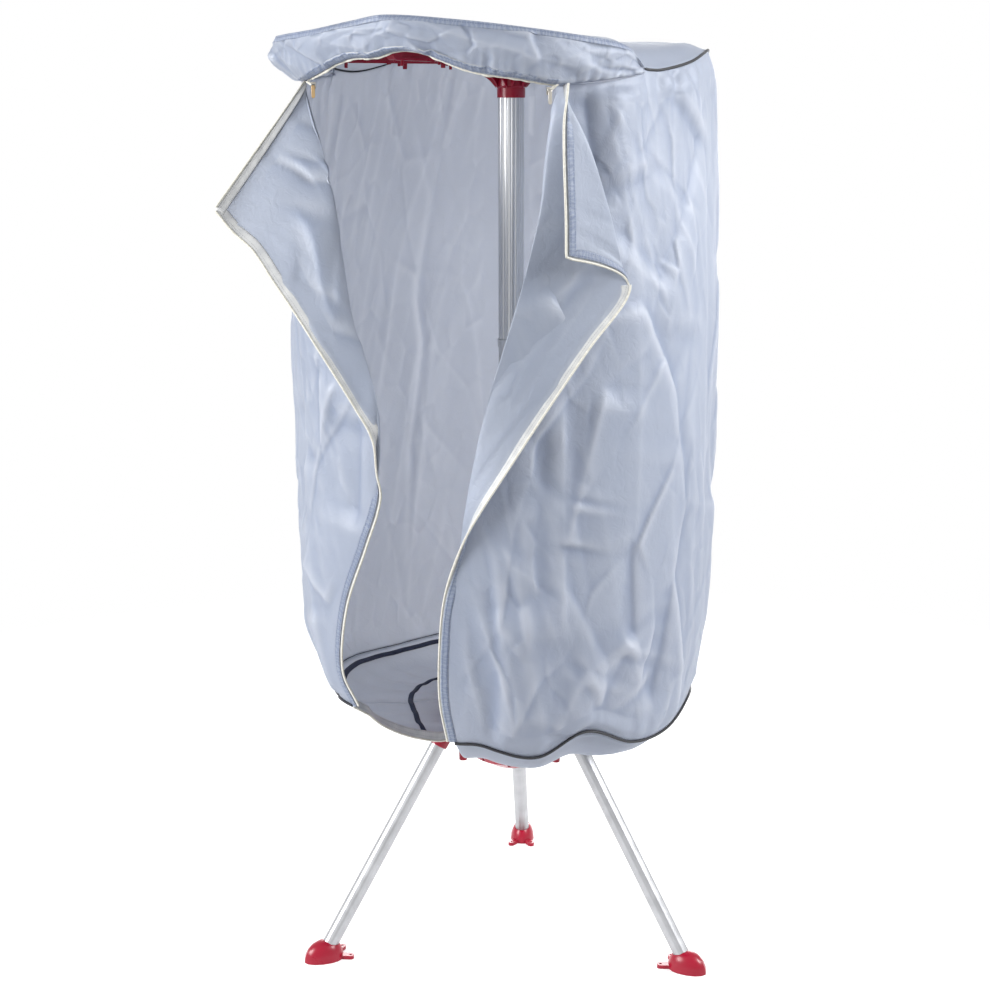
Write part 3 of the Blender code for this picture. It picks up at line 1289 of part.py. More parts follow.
def cover_top():
    """The top panel: high over the arms, sagging between them, and raised into the open lid in front."""
    crown = CAP_Z + CAP_HEIGHT + GAP + FABRIC / 2
    shoulder = PLATE_Z + HUB_PLATE_THICKNESS + ARM_CLEARANCE + FABRIC / 2
    tip_height = ARM_TOP_Z + ARM_CLEARANCE + FABRIC / 2

    def ridge(reach):
        if reach < FLARE_RADIUS:
            return crown + (shoulder - crown) * smooth_step(reach / FLARE_RADIUS * 1.6 - 0.6)
        return shoulder + (tip_height - shoulder) * min((reach - FLARE_RADIUS) / (ARM_REACH - FLARE_RADIUS), 1.0)

    rows = []
    for ring_share in TOP_RING_SHARES:
        row = []
        for azimuth in COLUMNS:
            radius, height = rim(azimuth)
            inset = FABRIC / 2 if lid_azimuth(azimuth) is not None else PIPING_RADIUS
            point = cover_point(azimuth, (radius - inset - SEAM_GAP) * ring_share, 0)
            reach = math.hypot(point[0], point[1])
            edge = cover_point(azimuth, radius, 0)
            far = math.hypot(edge[0], edge[1])
            point[2] = ridge(reach) + (height - ridge(far)) * ring_share**4
            row.append(point)
        rows.append(row)
    return sheet("cover_top", rows, "fabric", wrap=True, pole=(COVER_LEAN, 0, crown))


def lid_columns():
    return [lid_azimuth(azimuth) for azimuth in COLUMNS if lid_azimuth(azimuth) is not None]


def lid_grid():
    rows = []
    azimuths = sorted(lid_columns())
    for j in range(LID_ROWS + 1):
        share = j / LID_ROWS
        row = []
        for azimuth in azimuths:
            low_radius, low = lid_edge(azimuth)
            high_radius, high = rim(azimuth)
            bulge = COVER_RADIUS * follow(LID_BULGE_SHARES, azimuth)[0] * math.sin(math.pi * share)
            radius = low_radius + (high_radius - low_radius) * share + bulge
            row.append(cover_point(azimuth, radius, low + (high - low) * share))
        rows.append(row)
    return azimuths, rows


def cover_walls():
    """Both walls with their lapels, the lid band, and the zip tapes along the free edges."""
    left = side_rows(LEFT_COLUMNS, LEFT_SHARES)
    right = side_rows(RIGHT_COLUMNS, RIGHT_SHARES)
    corners = []
    for j in range(CORNER_ROW, WALL_ROWS + 1):
        azimuth, radius, height = follow(CORNER_SHARES, j / WALL_ROWS)
        turned_row = right[j][1]
        fold = turned_row[-1]
        free = cover_point(azimuth, COVER_RADIUS * radius, COVER_BASE_Z + COVER_HEIGHT * height)
        free = free - unit(free - fold) * TAPE_WIDTH * 0.5
        ahead = unit(turned_row[-1] - turned_row[-2])
        roll = min(FOLD_ROLL, np.linalg.norm(free - fold))
        corners.append(rolled(fold, ahead, free, roll * 0.6, 0, CORNER_COLUMNS)[1:])
    left_grid = [row + flap for row, flap in left]
    right_grid = [row + flap for row, flap in right]
    for j, extra in enumerate(corners):
        right_grid[CORNER_ROW + j] += extra
    sheet("cover_wall_left", left_grid, "fabric")
    sheet("cover_wall_right", right_grid, "fabric")
    azimuths, lid = lid_grid()
    sheet("cover_lid_band", lid, "fabric")
    left_strip = side_strip(left_grid, WALL_ROWS) + top_strip(left_grid, len(LEFT_COLUMNS))
    sheet("zip_tape_left", left_strip, "tape", TAPE_THICKNESS)
    right_strip = side_strip(right_grid, CORNER_ROW - 1) + corner_strip(right_grid)
    sheet("zip_tape_right", right_strip, "tape", TAPE_THICKNESS)
    lid_strip = []
    for i, azimuth in enumerate(azimuths):
        if OPEN_LID_RANGE[0] <= azimuth <= OPEN_LID_RANGE[1]:
            down = unit(lid[0][i] - lid[1][i])
            lid_strip.append([lid[0][i] + down * SEAM_GAP, lid[0][i] + down * TAPE_WIDTH])
    sheet("zip_tape_lid", lid_strip, "tape", TAPE_THICKNESS)
    return left_grid, right_grid, lid_strip


def side_strip(grid, last_row):
    """Tape along the rows' free ends, from the bottom up."""
    strip = []
    for j, row in enumerate(grid[: last_row + 1]):
        along = unit(grid[min(j + 1, last_row)][-1] - grid[max(j - 1, 0)][-1])
        out = unit(row[-1] - row[-2])
        out = out - along * np.dot(out, along)
        outward = unit(np.array([row[-1][0] - COVER_LEAN, row[-1][1], 0]))
        weakness = 1 - np.linalg.norm(out)
        out = unit(out + outward * weakness)
        gap = SEAM_GAP * 1.7 + FABRIC * weakness
        strip.append([row[-1] + out * gap, row[-1] + out * (TAPE_WIDTH + gap)])
    return strip


def corner_strip(grid):
    """Tape round the flap's turned corner: along its lower edge, then up its free edge."""
    strip = []
    low, above = grid[CORNER_ROW], grid[CORNER_ROW + 1]
    tip = -CORNER_COLUMNS - 1
    out = unit(unit(low[tip] - low[tip - 1]) + unit(low[tip] - above[tip]))
    outward = unit(np.array([low[tip][0] - COVER_LEAN, low[tip][1], 0]))
    corner = low[tip] + outward * FABRIC
    strip.append([corner + out * FABRIC * 1.5, corner + out * TAPE_WIDTH])
    for i in range(-CORNER_COLUMNS + 1, -1):
        out = unit(unit(low[i] - above[i]) + outward * CORNER_TAPE_LEAN)
        strip.append([low[i] + out * FABRIC, low[i] + out * TAPE_WIDTH])
    out = unit(low[-1] - above[-2])
    strip.append([low[-1] + out * SEAM_GAP * 1.5, low[-1] + out * TAPE_WIDTH * 1.4])
    for row in grid[CORNER_ROW + 1 :]:
        out = unit(row[-1] - row[-2])
        strip.append([row[-1] + out * SEAM_GAP, row[-1] + out * TAPE_WIDTH])
    return strip


def top_strip(grid, first_column):
    """Tape along the top row's flap, from the corner back to the slider."""
    strip = []
    top, below = grid[-1], grid[-2]
    for i in range(len(top) - 2, first_column, -1):
        out = unit(top[i] - below[i])
        strip.append([top[i] + out * SEAM_GAP, top[i] + out * TAPE_WIDTH])
    return strip


def cover_floor():
    """The bottom panel round the hub's drum, open along the zip's slit in front."""
    azimuths, edge = [], []
    for columns, table in ((RIGHT_COLUMNS, RIGHT_SHARES), (LEFT_COLUMNS, LEFT_SHARES)):
        values = follow(table, 0)
        row, corner, _ = wall_row(columns, values[:3], values[3:], 0, table[-1][1])
        line = row + [corner]
        edge += list(reversed(line)) if table is RIGHT_SHARES else line[1:]
    hole = HUB_RADIUS + FLOOR_CLEARANCE
    rows = []
    count = len(edge)
    for reach_share, middle_sag, slit_sag in FLOOR_SHARES:
        row = []
        for i, point in enumerate(edge):
            beside = max(abs(2 * i / (count - 1) - 1), 0.0) ** 12
            flat = np.array([point[0], point[1]])
            inner = flat / np.linalg.norm(flat) * hole
            outer = flat * (1 - (PIPING_RADIUS + SEAM_GAP) / np.linalg.norm(flat))
            at = inner + (outer - inner) * reach_share
            level = COVER_BASE_Z - FABRIC * 4
            rim_height = point[2] - PIPING_RADIUS - SEAM_GAP
            sag = FLOOR_SAG * (middle_sag + (slit_sag - middle_sag) * beside)
            height = level + (rim_height - level) * reach_share**3 - sag
            row.append(np.array([at[0], at[1], height]))
        rows.append(row)
    sheet("cover_floor", rows, "fabric")
    return edge


def cover_trim(edge):
    """Piping round the top seam, where the lid does not cover it, and round the bottom seam."""
    points = []
    for azimuth in COLUMNS:
        if lid_azimuth(azimuth) is None:
            radius, height = rim(azimuth)
            points.append(cover_point(azimuth, radius, height))
    place(tube("piping_top", points, PIPING_RADIUS), "piping")
    low = [point + np.array([0, 0, -PIPING_RADIUS - SEAM_GAP]) for point in edge]
    place(tube("piping_bottom", low, PIPING_RADIUS), "piping")


def beyond(end, before):
    """The middle of a slider that stands against the end of a tape."""
    return end + unit(end - before) * (SLIDER_SIZE[0] / 2 + GAP * 1.5) - np.array([0, 0, SLIDER_DROP])


def zip_slider(name, point, facing, aside, standoff):
    """A slider at the end of the tape, and its puller hanging from the slider's lug."""
    at = Vector(point) + turn(facing) @ Vector((aside, 0, 0))
    seat = empty(name + "_seat", at, (0, 0, facing), AIRER)
    width, thick, _ = SLIDER_SIZE
    front = -standoff - thick / 2
    body = boxes(name, SLIDER_SIZE, [shift(0, front, 0)])
    join(place(body, "nickel", seat, smooth=False), cylinders(name + "_lug", thick / 3, width * 0.7, [shift(-width * 0.35, front - thick / 2 - thick / 4, LUG_RISE) @ turn(math.pi / 2, "Y")], SMALL_STEPS))
    axis_at = (0, front - thick / 2 - thick / 4 - thick / 3 - PULLER_CLEARANCE, LUG_RISE)
    hinge = empty(name + "_hinge", axis_at, parent=seat)
    w, t, h = PULLER_SIZE
    outline = arc((0, -w / 2), w / 2, 0, math.pi, 7) + arc((0, -h + w / 2), w / 2, math.pi, 2 * math.pi, 7)
    puller = plates(name.replace("slider", "puller"), outline, t, [turn(math.pi / 2, "X")])
    place(puller, "nickel", hinge)


def stand_on_origin():
    """Moves the whole airer so that the middle of its footprint is the origin."""
    bpy.context.view_layer.update()
    graph = bpy.context.evaluated_depsgraph_get()
    corners = []
    for obj in PARTS.objects:
        if obj.type == "EMPTY":
            continue
        evaluated = obj.evaluated_get(graph)
        mesh = evaluated.to_mesh()
        points = np.empty(len(mesh.vertices) * 3, np.float32)
        mesh.vertices.foreach_get("co", points)
        world = np.array(evaluated.matrix_world)
        points = points.reshape(-1, 3) @ world[:3, :3].T + world[:3, 3]
        corners += [points.min(axis=0), points.max(axis=0)]
        evaluated.to_mesh_clear()
    low, high = np.min(corners, axis=0), np.max(corners, axis=0)
    AIRER.location = (-(low[0] + high[0]) / 2, -(low[1] + high[1]) / 2, -low[2])


def print_axes():
    """The places of the joints' axes in the world."""
    bpy.context.view_layer.update()
    for obj in PARTS.objects:
        if obj.type == "EMPTY":
            at = obj.matrix_world.translation
            axis = obj.matrix_world.to_3x3() @ Vector((0, 1, 0))
            ahead = obj.matrix_world.to_3x3() @ Vector((1, 0, 0))
            print(obj.name, [round(v, 6) for v in at], "Y", [round(v, 6) for v in axis], "X", [round(v, 6) for v in ahead])


def main():
    hub_spider()
    legs()
    heater_base()
    heater_cover()
    inlet_grille()
    motor_bracket()
    fan_motor()
    fan_impeller()
    element_frame()
    ptc_element()
    thermal_cutout()
    timer_pieces()
    cord_entry()
    fluted_section("pole_lower", POLE_Z, LOWER_POLE)
    pole_joiner()
    fluted_section("pole_upper", UPPER_POLE_Z, UPPER_POLE)
    top_hub()
    top_cap()
    arms()
    cover_top()
    left_grid, right_grid, lid_strip = cover_walls()
    edge = cover_floor()
    cover_trim(edge)
    zip_slider("zip_slider_left", beyond(lid_strip[0][1], lid_strip[1][1]), SLIDER_FACINGS[0], SLIDER_ASIDES[0], SLIDER_STANDOFFS[0])
    zip_slider("zip_slider_right", beyond(lid_strip[-1][1], lid_strip[-2][1]), SLIDER_FACINGS[1], SLIDER_ASIDES[1], SLIDER_STANDOFFS[1])
    stand_on_origin()
    print_axes()


main()
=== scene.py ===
"""The heated clothes airer, dressed: sewn cover, zips, piping, hub, arms, pole and legs on the frame."""

import math

import bpy
import numpy as np
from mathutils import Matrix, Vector


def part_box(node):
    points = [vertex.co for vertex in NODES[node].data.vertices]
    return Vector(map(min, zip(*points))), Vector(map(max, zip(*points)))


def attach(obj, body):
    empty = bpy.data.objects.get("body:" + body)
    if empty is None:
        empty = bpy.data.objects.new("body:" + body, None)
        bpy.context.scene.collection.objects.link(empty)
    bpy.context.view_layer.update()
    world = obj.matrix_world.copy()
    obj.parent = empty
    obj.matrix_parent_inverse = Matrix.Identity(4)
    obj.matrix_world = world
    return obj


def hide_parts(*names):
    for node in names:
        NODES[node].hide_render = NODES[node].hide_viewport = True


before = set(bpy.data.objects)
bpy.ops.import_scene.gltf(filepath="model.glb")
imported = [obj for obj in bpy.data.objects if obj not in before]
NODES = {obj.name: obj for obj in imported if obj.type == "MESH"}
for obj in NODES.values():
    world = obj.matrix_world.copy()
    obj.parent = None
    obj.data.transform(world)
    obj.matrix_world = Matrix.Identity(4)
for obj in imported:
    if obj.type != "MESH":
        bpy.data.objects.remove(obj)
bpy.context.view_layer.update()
BODY = "frame"

# Places and sizes of the cover, most of them read from the frame. Lengths are in metres, angles in degrees.
POLE = sum(np.array(corner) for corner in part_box("pole_upper")) / 2
OFF = np.array([POLE[0], POLE[1], 0.0])
ARM_TOP_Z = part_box("arm_1")[1][2]
COVER_BASE_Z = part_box("hub_spider")[1][2] + 0.002
COVER_HEIGHT = ARM_TOP_Z - COVER_BASE_Z
HUB_RADIUS = 0.090
COVER_RADIUS = 0.3125
COVER_LEAN = -0.012
MIDDLE = np.array([COVER_LEAN, 0, 0])
LEVEL = np.array([1, 1, 0])
LID_RISE = 0.040
FABRIC = 0.0009
BACK_SEAM = 90.0

# Points of the grids
WALL_ROWS = 300
WALL_COLUMNS = 340
WALL_SPREAD = 0.92
FLAP_POINTS = 45
CORNER_POINTS = 19
LID_ROWS = 36
LID_COLUMNS = 420
TOP_ROWS = 44
TOP_COLUMNS = 240
FLOOR_ROWS = 34
SEAM_POINTS = 260

# Outlines of the open cover. Azimuths are in degrees round its middle, radii are shares of COVER_RADIUS,
# rises are shares of LID_RISE over the arms, heights are shares of COVER_HEIGHT over the bottom seam.
RIM = (
    (-187.3, 0.985, 0.10),
    (-176.0, 1.030, 0.25),
    (-165.0, 1.055, 0.44),
    (-151.0, 1.088, 0.50),
    (-137.0, 1.090, 0.62),
    (-124.9, 1.090, 0.85),
    (-116.0, 1.100, 1.01),
    (-101.0, 1.090, 0.86),
    (-86.0, 1.085, 0.62),
    (-64.7, 1.050, 0.22),
    (-60.0, 1.012, 0.12),
    (-56.0, 0.978, -0.04),
    (-53.2, 0.956, -0.30),
    (-51.0, 0.948, -0.60),
    (-46.0, 0.945, -0.69),
    (-41.5, 0.945, -0.65),
    (-28.8, 0.945, -0.40),
    (-15.8, 0.945, -0.07),
    (-6.7, 0.950, 0.04),
    (22.0, 0.935, -0.68),
    (51.0, 0.940, 0.10),
    (81.0, 0.935, -0.68),
    (110.6, 0.940, 0.10),
    (141.0, 0.945, -0.62),
    (160.0, 0.960, -0.30),
    (172.7, 0.985, 0.10),
)
LID_EDGE = (
    (-208.0, 0.945, -0.78),
    (-195.0, 0.940, -0.92),
    (-180.0, 0.940, -1.02),
    (-164.0, 0.932, -1.00),
    (-152.0, 0.980, -0.97),
    (-145.0, 1.010, -0.88),
    (-138.4, 1.030, -0.70),
    (-132.8, 1.040, -0.47),
    (-127.0, 1.050, -0.30),
    (-120.0, 1.055, -0.28),
    (-115.3, 1.060, -0.11),
    (-111.0, 1.065, -0.09),
    (-106.0, 1.070, -0.25),
    (-97.0, 1.070, -0.71),
    (-86.0, 1.070, -0.96),
    (-77.0, 1.045, -1.15),
    (-70.0, 1.010, -1.10),
    (-60.0, 0.985, -0.95),
    (-51.0, 0.965, -0.80),
)
LID_BULGE = ((-208.0, 0.0), (-176.0, 0.075), (-150.0, 0.03), (-110.0, 0.02), (-75.0, 0.03), (-51.0, 0.0))
LID_RANGE = (-208.0, -51.0)
LID_LAP = 1.8
LID_STOP = 0.6
LID_LAP_OUT = 0.0016
LID_HEIGHT = 0.065
OPEN_LID = (-164.0, -77.0)
WALL_PROFILE = (
    *((0.0, 0.930), (0.06, 0.955), (0.16, 0.985), (0.35, 1.0)),
    *((0.8, 1.0), (0.93, 0.975), (1.0, 0.945)),
)
BOTTOM = (
    (-107.0, 0.018),
    (-100.0, 0.031),
    (-92.0, 0.002),
    (-80.0, 0.0),
    (-66.0, 0.032),
    (-50.0, 0.0),
    (-35.0, -0.002),
    (-15.0, 0.018),
    (10.0, 0.008),
    (40.0, 0.016),
    (70.0, 0.004),
    (100.0, 0.016),
    (130.0, 0.006),
    (160.0, 0.016),
    (190.0, 0.014),
    (221.0, 0.045),
)

# Rows of a wall: row share, then azimuth, radius and height of its fold, then of its free edge
LEFT = (
    (0.00, -139.0, 0.930, 0.045, -136.8, 0.930, 0.045),
    (0.08, -142.3, 0.975, 0.102, -140.2, 0.975, 0.102),
    (0.18, -138.5, 0.995, 0.200, -136.4, 0.995, 0.200),
    (0.28, -130.4, 1.000, 0.299, -128.3, 1.000, 0.299),
    (0.38, -125.4, 1.000, 0.385, -123.2, 0.998, 0.376),
    (0.44, -123.2, 1.012, 0.440, -123.4, 1.012, 0.415),
    (0.51, -124.2, 1.015, 0.521, -123.1, 1.040, 0.465),
    (0.59, -127.9, 1.010, 0.589, -127.0, 1.070, 0.510),
    (0.67, -132.9, 1.005, 0.658, -132.0, 1.120, 0.565),
    (0.74, -136.0, 0.992, 0.726, -138.4, 1.182, 0.631),
    (0.82, -139.5, 0.975, 0.800, -143.5, 1.238, 0.681),
    (0.90, -148.9, 0.945, 0.880, -147.8, 1.292, 0.726),
    (0.96, -158.0, 0.932, 0.932, -151.1, 1.357, 0.753),
    (1.00, -164.1, 0.932, 0.957, -153.0, 1.411, 0.779),
)
RIGHT = (
    (0.00, -103.4, 0.930, 0.020, -105.5, 0.930, 0.020),
    (0.09, -104.8, 0.965, 0.090, -107.0, 0.965, 0.090),
    (0.18, -104.1, 0.985, 0.180, -106.3, 0.985, 0.180),
    (0.24, -102.8, 0.992, 0.240, -104.9, 0.992, 0.240),
    (0.30, -101.0, 1.000, 0.300, -101.4, 1.020, 0.300),
    (0.36, -99.2, 1.000, 0.362, -97.0, 1.055, 0.356),
    (0.43, -96.7, 1.000, 0.431, -90.0, 1.075, 0.425),
    (0.53, -93.0, 1.000, 0.530, -79.5, 1.080, 0.522),
    (0.60, -89.4, 1.000, 0.600, -69.8, 1.080, 0.603),
    (0.67, -85.7, 1.000, 0.667, -60.2, 1.080, 0.672),
    (0.74, -82.5, 1.000, 0.735, -61.6, 1.080, 0.715),
    (0.80, -79.7, 1.000, 0.801, -65.2, 1.080, 0.790),
    (0.88, -78.0, 1.000, 0.867, -69.8, 1.075, 0.868),
    (0.96, -75.9, 0.990, 0.937, -74.6, 1.050, 0.932),
    (1.00, -76.2, 0.975, 0.953, -75.6, 1.035, 0.950),
)
LEFT_TURN = (0.36, 0.52)
RIGHT_TURN = (0.24, 0.38)

# The right flap's upper corner: row share, then azimuth, radius and height of its edge
CORNER = (
    (0.68, -75.5, 1.120, 0.722),
    (0.76, -75.6, 1.118, 0.780),
    (0.85, -75.9, 1.110, 0.845),
    (0.93, -75.8, 1.090, 0.900),
    (1.00, -75.2, 1.060, 0.953),
)
CORNER_SHARE = 0.6875
CORNER_LIFT = 0.012
CORNER_FIRST = int(math.ceil(CORNER_SHARE * WALL_ROWS))

# The floor from the hub outwards: share, then the sag in its middle and beside its slit, both of FLOOR_SAG
FLOOR = (
    *((0.0, 0.10, 0.10), (0.12, 0.22, 0.60), (0.35, 0.42, 0.95)),
    *((0.6, 0.60, 0.80), (0.82, 0.66, 0.62), (1.0, 0.0, 0.0)),
)
FLOOR_SAG = 0.032
FLOOR_DROP = 0.006
FRONT_SAG = 0.0095
SLIT = (
    (0.00, -124.0, 0.292, 0.352),
    (0.25, -129.8, 0.457, 0.347),
    (0.42, -134.8, 0.570, 0.356),
    (0.58, -137.2, 0.673, 0.370),
    (0.76, -139.0, 0.776, 0.390),
    (1.00, -136.8, 0.880, 0.418),
)
TUCK = 0.11

# Folds of the cloth
FOLD_DEPTH = 0.0045
FOLD_ROLL = 0.014
FOLD_EASE = 26.0
LAPEL_SPREAD = 0.02
LAPEL_FULL = 0.08
LAPEL_EDGE = 0.6
EDGE_INSET = 0.003
CALM_REACH = 0.14
CALM_LEAST = 0.12
CALM_FLAP = 0.4
CALM_SPAN = 14.0
SEAM_SPAN = 9.0
# How far a ridge or valley stands out for the full painted highlight or painted shade.
PAINTED_SHADE_SCALE = 0.0011
CREASE_GAIN = 1.5
RIDGE = 2.6
LONG_FOLD = 0.0055
MID_FOLD = 0.0022
SMALL_FOLD = 0.0003
LARGE_FACET = 0.0080
MEDIUM_FACET = 0.0030
FINE_FACET = 0.0017

# Zip tapes, hems and piping
TAPE_OVER = 0.010
TAPE_BEYOND = 0.0045
TAPE_THICKNESS = 0.0008
COIL_RADIUS = 0.0016
LID_COIL_RADIUS = 0.0021
HEM_WIDTH = 0.0105
HEM_THICKNESS = 0.0006
PIPING_RADIUS = 0.002

# Creases of the walls: azimuth and height of both ends, how far they stand out, width, and the softer side
LEFT_CREASES = (
    ((-143.5 + 360, 0.930), (-144.6 + 360, 0.798), -0.006, 0.006, 1),
    ((-136.9 + 360, 0.906), (-146.2 + 360, 0.797), 0.008, 0.008, 1),
    ((-129.1 + 360, 0.860), (-132.0 + 360, 0.717), -0.009, 0.012, 1),
    ((-155.5 + 360, 0.632), (-143.2 + 360, 0.587), 0.006, 0.008, -1),
    ((-161.7 + 360, 0.865), (-154.6 + 360, 0.693), -0.008, 0.014, 1),
    ((-150.5 + 360, 0.560), (-146.0 + 360, 0.440), 0.007, 0.012, 1),
    ((216.1, 1.204), (220.2, 1.212), -0.003, 0.006, 1),
    ((217.5, 1.186), (222.7, 1.190), 0.004, 0.006, -1),
    ((230.4, 1.142), (236.0, 1.004), -0.005, 0.008, 1),
    ((241.3, 1.060), (232.5, 1.030), 0.003, 0.010, 1),
    ((243.1, 0.989), (232.0, 0.966), -0.003, 0.008, -1),
)
RIGHT_CREASES = (
    ((-75.3, 0.880), (-75.0, 0.590), 0.006, 0.010, 1),
    ((-80.5, 0.860), (-80.0, 0.600), -0.008, 0.024, 0),
    ((-64.3, 0.903), (-70.9, 0.756), 0.008, 0.010, -1),
    ((-70.9, 0.756), (-73.8, 0.699), 0.007, 0.008, -1),
    ((-55.9, 0.689), (-54.1, 0.553), -0.005, 0.007, 1),
    ((-34.1, 0.803), (-41.3, 0.577), -0.007, 0.010, 1),
    ((-41.3, 0.577), (-44.0, 0.445), -0.006, 0.009, 1),
    ((-54.8, 0.548), (-68.6, 0.509), 0.008, 0.017, -1),
    ((-68.6, 0.509), (-75.3, 0.426), 0.008, 0.014, -1),
    ((-54.8, 0.548), (-47.0, 0.473), 0.006, 0.015, 1),
    ((-56.0, 0.530), (-63.0, 0.440), -0.010, 0.016, -1),
    ((-23.7, 1.250), (-33.8, 1.158), -0.012, 0.018, 1),
    ((-33.8, 1.158), (-46.3, 1.057), -0.011, 0.018, 1),
    ((-32.2, 0.977), (-38.7, 0.810), -0.007, 0.015, 1),
    ((-90.6, 0.600), (-84.0, 0.430), 0.008, 0.018, -1),
    ((-69.5, 1.300), (-66.0, 1.160), -0.010, 0.014, 1),
    ((-58.0, 1.310), (-52.0, 1.200), 0.007, 0.014, 1),
    ((-85.0, 0.760), (-83.0, 0.560), 0.006, 0.020, -1),
)


# Smooth tables and noise


def follow(table, at):
    """The values of a table at each place, on a smooth curve through its rows."""
    keys = np.array([row[0] for row in table], float)
    values = np.array([row[1:] for row in table], float)
    at = np.asarray(at, float)
    i = np.clip(np.searchsorted(keys, at, side="right") - 1, 0, len(keys) - 2)
    span = (keys[i + 1] - keys[i])[..., None]
    t = np.clip((at - keys[i])[..., None] / span, 0, 1)
    before, after = np.maximum(i - 1, 0), np.minimum(i + 2, len(keys) - 1)
    slope_in = (values[i + 1] - values[before]) / (keys[i + 1] - keys[before])[..., None] * span
    slope_out = (values[after] - values[i]) / (keys[after] - keys[i])[..., None] * span
    rise = t * t * (3 - 2 * t)
    curve = slope_in * t * (1 - t) ** 2 + slope_out * t * t * (t - 1)
    return values[i] * (1 - rise) + values[i + 1] * rise + curve


def smooth(t):
    t = np.clip(t, 0, 1)
    return t * t * (3 - 2 * t)


def noise(x, y, seed):
    """Gradient noise in two dimensions, from about -0.7 to 0.7."""
    table = np.random.RandomState(seed).permutation(256)
    x, y = np.broadcast_arrays(np.asarray(x, float), np.asarray(y, float))
    xi, yi = np.floor(x).astype(int), np.floor(y).astype(int)
    xf, yf = x - xi, y - yi

    def corner(dx, dy):
        angle = table[(table[(xi + dx) % 256] + yi + dy) % 256] * (2 * math.pi / 256)
        return np.cos(angle) * (xf - dx) + np.sin(angle) * (yf - dy)

    u, v = smooth(xf), smooth(yf)
    low = corner(0, 0) * (1 - u) + corner(1, 0) * u
    high = corner(0, 1) * (1 - u) + corner(1, 1) * u
    return low * (1 - v) + high * v


def ridges(x, y, seed, sharpness=RIDGE):
    """Noise whose zeros are ridges: 1 along them, less beside them."""
    return 1 - np.abs(noise(x, y, seed)) * sharpness


def facets(x, y, seed, sharpness):
    """Flat facets that meet in soft creases, as in crumpled cloth. From about -1 to 1 over unit cells."""
    table = np.random.RandomState(seed)
    order = table.permutation(256)
    place, slope = table.rand(256, 2), table.rand(256, 3) * 2 - 1
    x, y = np.broadcast_arrays(np.asarray(x, float), np.asarray(y, float))
    xi, yi = np.floor(x).astype(int), np.floor(y).astype(int)
    total, weights = np.zeros(x.shape), np.full(x.shape, 1e-12)
    for dx in (-1, 0, 1):
        for dy in (-1, 0, 1):
            cell = order[(order[(xi + dx) % 256] + yi + dy) % 256]
            across, up = x - xi - dx - place[cell, 0], y - yi - dy - place[cell, 1]
            weight = np.exp(-sharpness * (across**2 + up**2))
            total += weight * (slope[cell, 0] * across + slope[cell, 1] * up + slope[cell, 2] * 0.2)
            weights += weight
    return total / weights


def wrinkles(s, z, seed):
    """Folds of thin nylon that hangs: long and upright, with facets and small creases on them. In metres."""
    bend = noise(s * 3, z * 2, seed + 9) * 0.06 + z * 0.10
    long = ridges((s + bend) * 10, z * 1.3, seed)
    mid = ridges((s + bend) * 26 + z * 4, z * 3.0, seed + 1)
    small = noise(s * 70 + z * 20, z * 26, seed + 2)
    patch = smooth(noise(s * 5, z * 4, seed + 3) * 1.6 + 0.5)
    large = facets((s + bend) * 7, z * 3.0, seed + 4, 26)
    medium = facets((s + bend) * 15 - z * 6, z * 6, seed + 6, 24)
    fine = facets(s * 36 + z * 9, z * 17, seed + 5, 20)
    folded = LONG_FOLD * long + MID_FOLD * mid * patch + SMALL_FOLD * small * patch
    return folded + LARGE_FACET * large + MEDIUM_FACET * medium + FINE_FACET * fine * (0.3 + 0.7 * patch)


def crease(s, z, start, end, depth, width, lean=0.0):
    """One drawn crease between two points of the cloth, soft on one side where it leans."""
    (s0, z0), (s1, z1) = start, end
    length = math.hypot(s1 - s0, z1 - z0)
    along = ((s - s0) * (s1 - s0) + (z - z0) * (z1 - z0)) / length**2
    across = ((s - s0) * (z1 - z0) - (z - z0) * (s1 - s0)) / length
    window = smooth(along * 4 + 0.5) * smooth((1 - along) * 4 + 0.5)
    wide = width * np.where(across * lean > 0, 4.0, 1.0)
    return depth * window * np.exp(-np.sqrt((across / wide) ** 2 + 0.12))


def painted_shade_mask(amount, times=10):
    """The mask of the painted shade: from -1 in valleys, painted darker, to 1 on ridges, painted paler, for a
    grid of displacements.
    """
    level = amount
    for _ in range(times):
        for axis in (0, 1):
            level = (np.roll(level, 1, axis) + 2 * level + np.roll(level, -1, axis)) / 4
    edge = np.zeros_like(amount)
    edge[12:-12, 12:-12] = 1
    return np.tanh((amount - level) / PAINTED_SHADE_SCALE) * edge


# Vectors, lines and grids of points


def unit(v):
    return v / np.maximum(np.linalg.norm(v, axis=-1, keepdims=True), 1e-9)


def dot(v, w):
    return np.sum(v * w, axis=-1, keepdims=True)


def beside(v, along):
    """The part of each vector that stands square to a unit vector."""
    return v - along * dot(v, along)


def tangents(line):
    return unit(np.gradient(line, axis=0))


def averaged(line, times):
    for _ in range(times):
        inner = (line[:-2] + line[1:-1] * 2 + line[2:]) / 4
        line = np.concatenate([line[:1], inner, line[-1:]])
    return line


def smoothed(vectors, times):
    return unit(averaged(vectors, times))


def run_along(line):
    """The length along a line from its start to each of its points."""
    return np.concatenate([[0], np.cumsum(np.linalg.norm(np.diff(line, axis=0), axis=1))])


def arc_lengths(points):
    """The length along each row of a grid, from its first column."""
    return np.pad(np.cumsum(np.linalg.norm(np.diff(points, axis=1), axis=-1), axis=1), [(0, 0), (1, 0)])


def normals(points):
    """Normals of a grid of points, by differences."""
    return unit(np.cross(np.gradient(points, axis=1), np.gradient(points, axis=0)))


def displace(points, amount):
    return points + normals(points) * amount[..., None]


def bezier(controls, count):
    """Points along cubic curves, one curve for each row of the four control points."""
    t = np.linspace(0, 1, count)[None, :, None]
    a, b, c, d = (point[:, None, :] for point in controls)
    return a * (1 - t) ** 3 + 3 * b * t * (1 - t) ** 2 + 3 * c * t * t * (1 - t) + d * t**3


# Objects


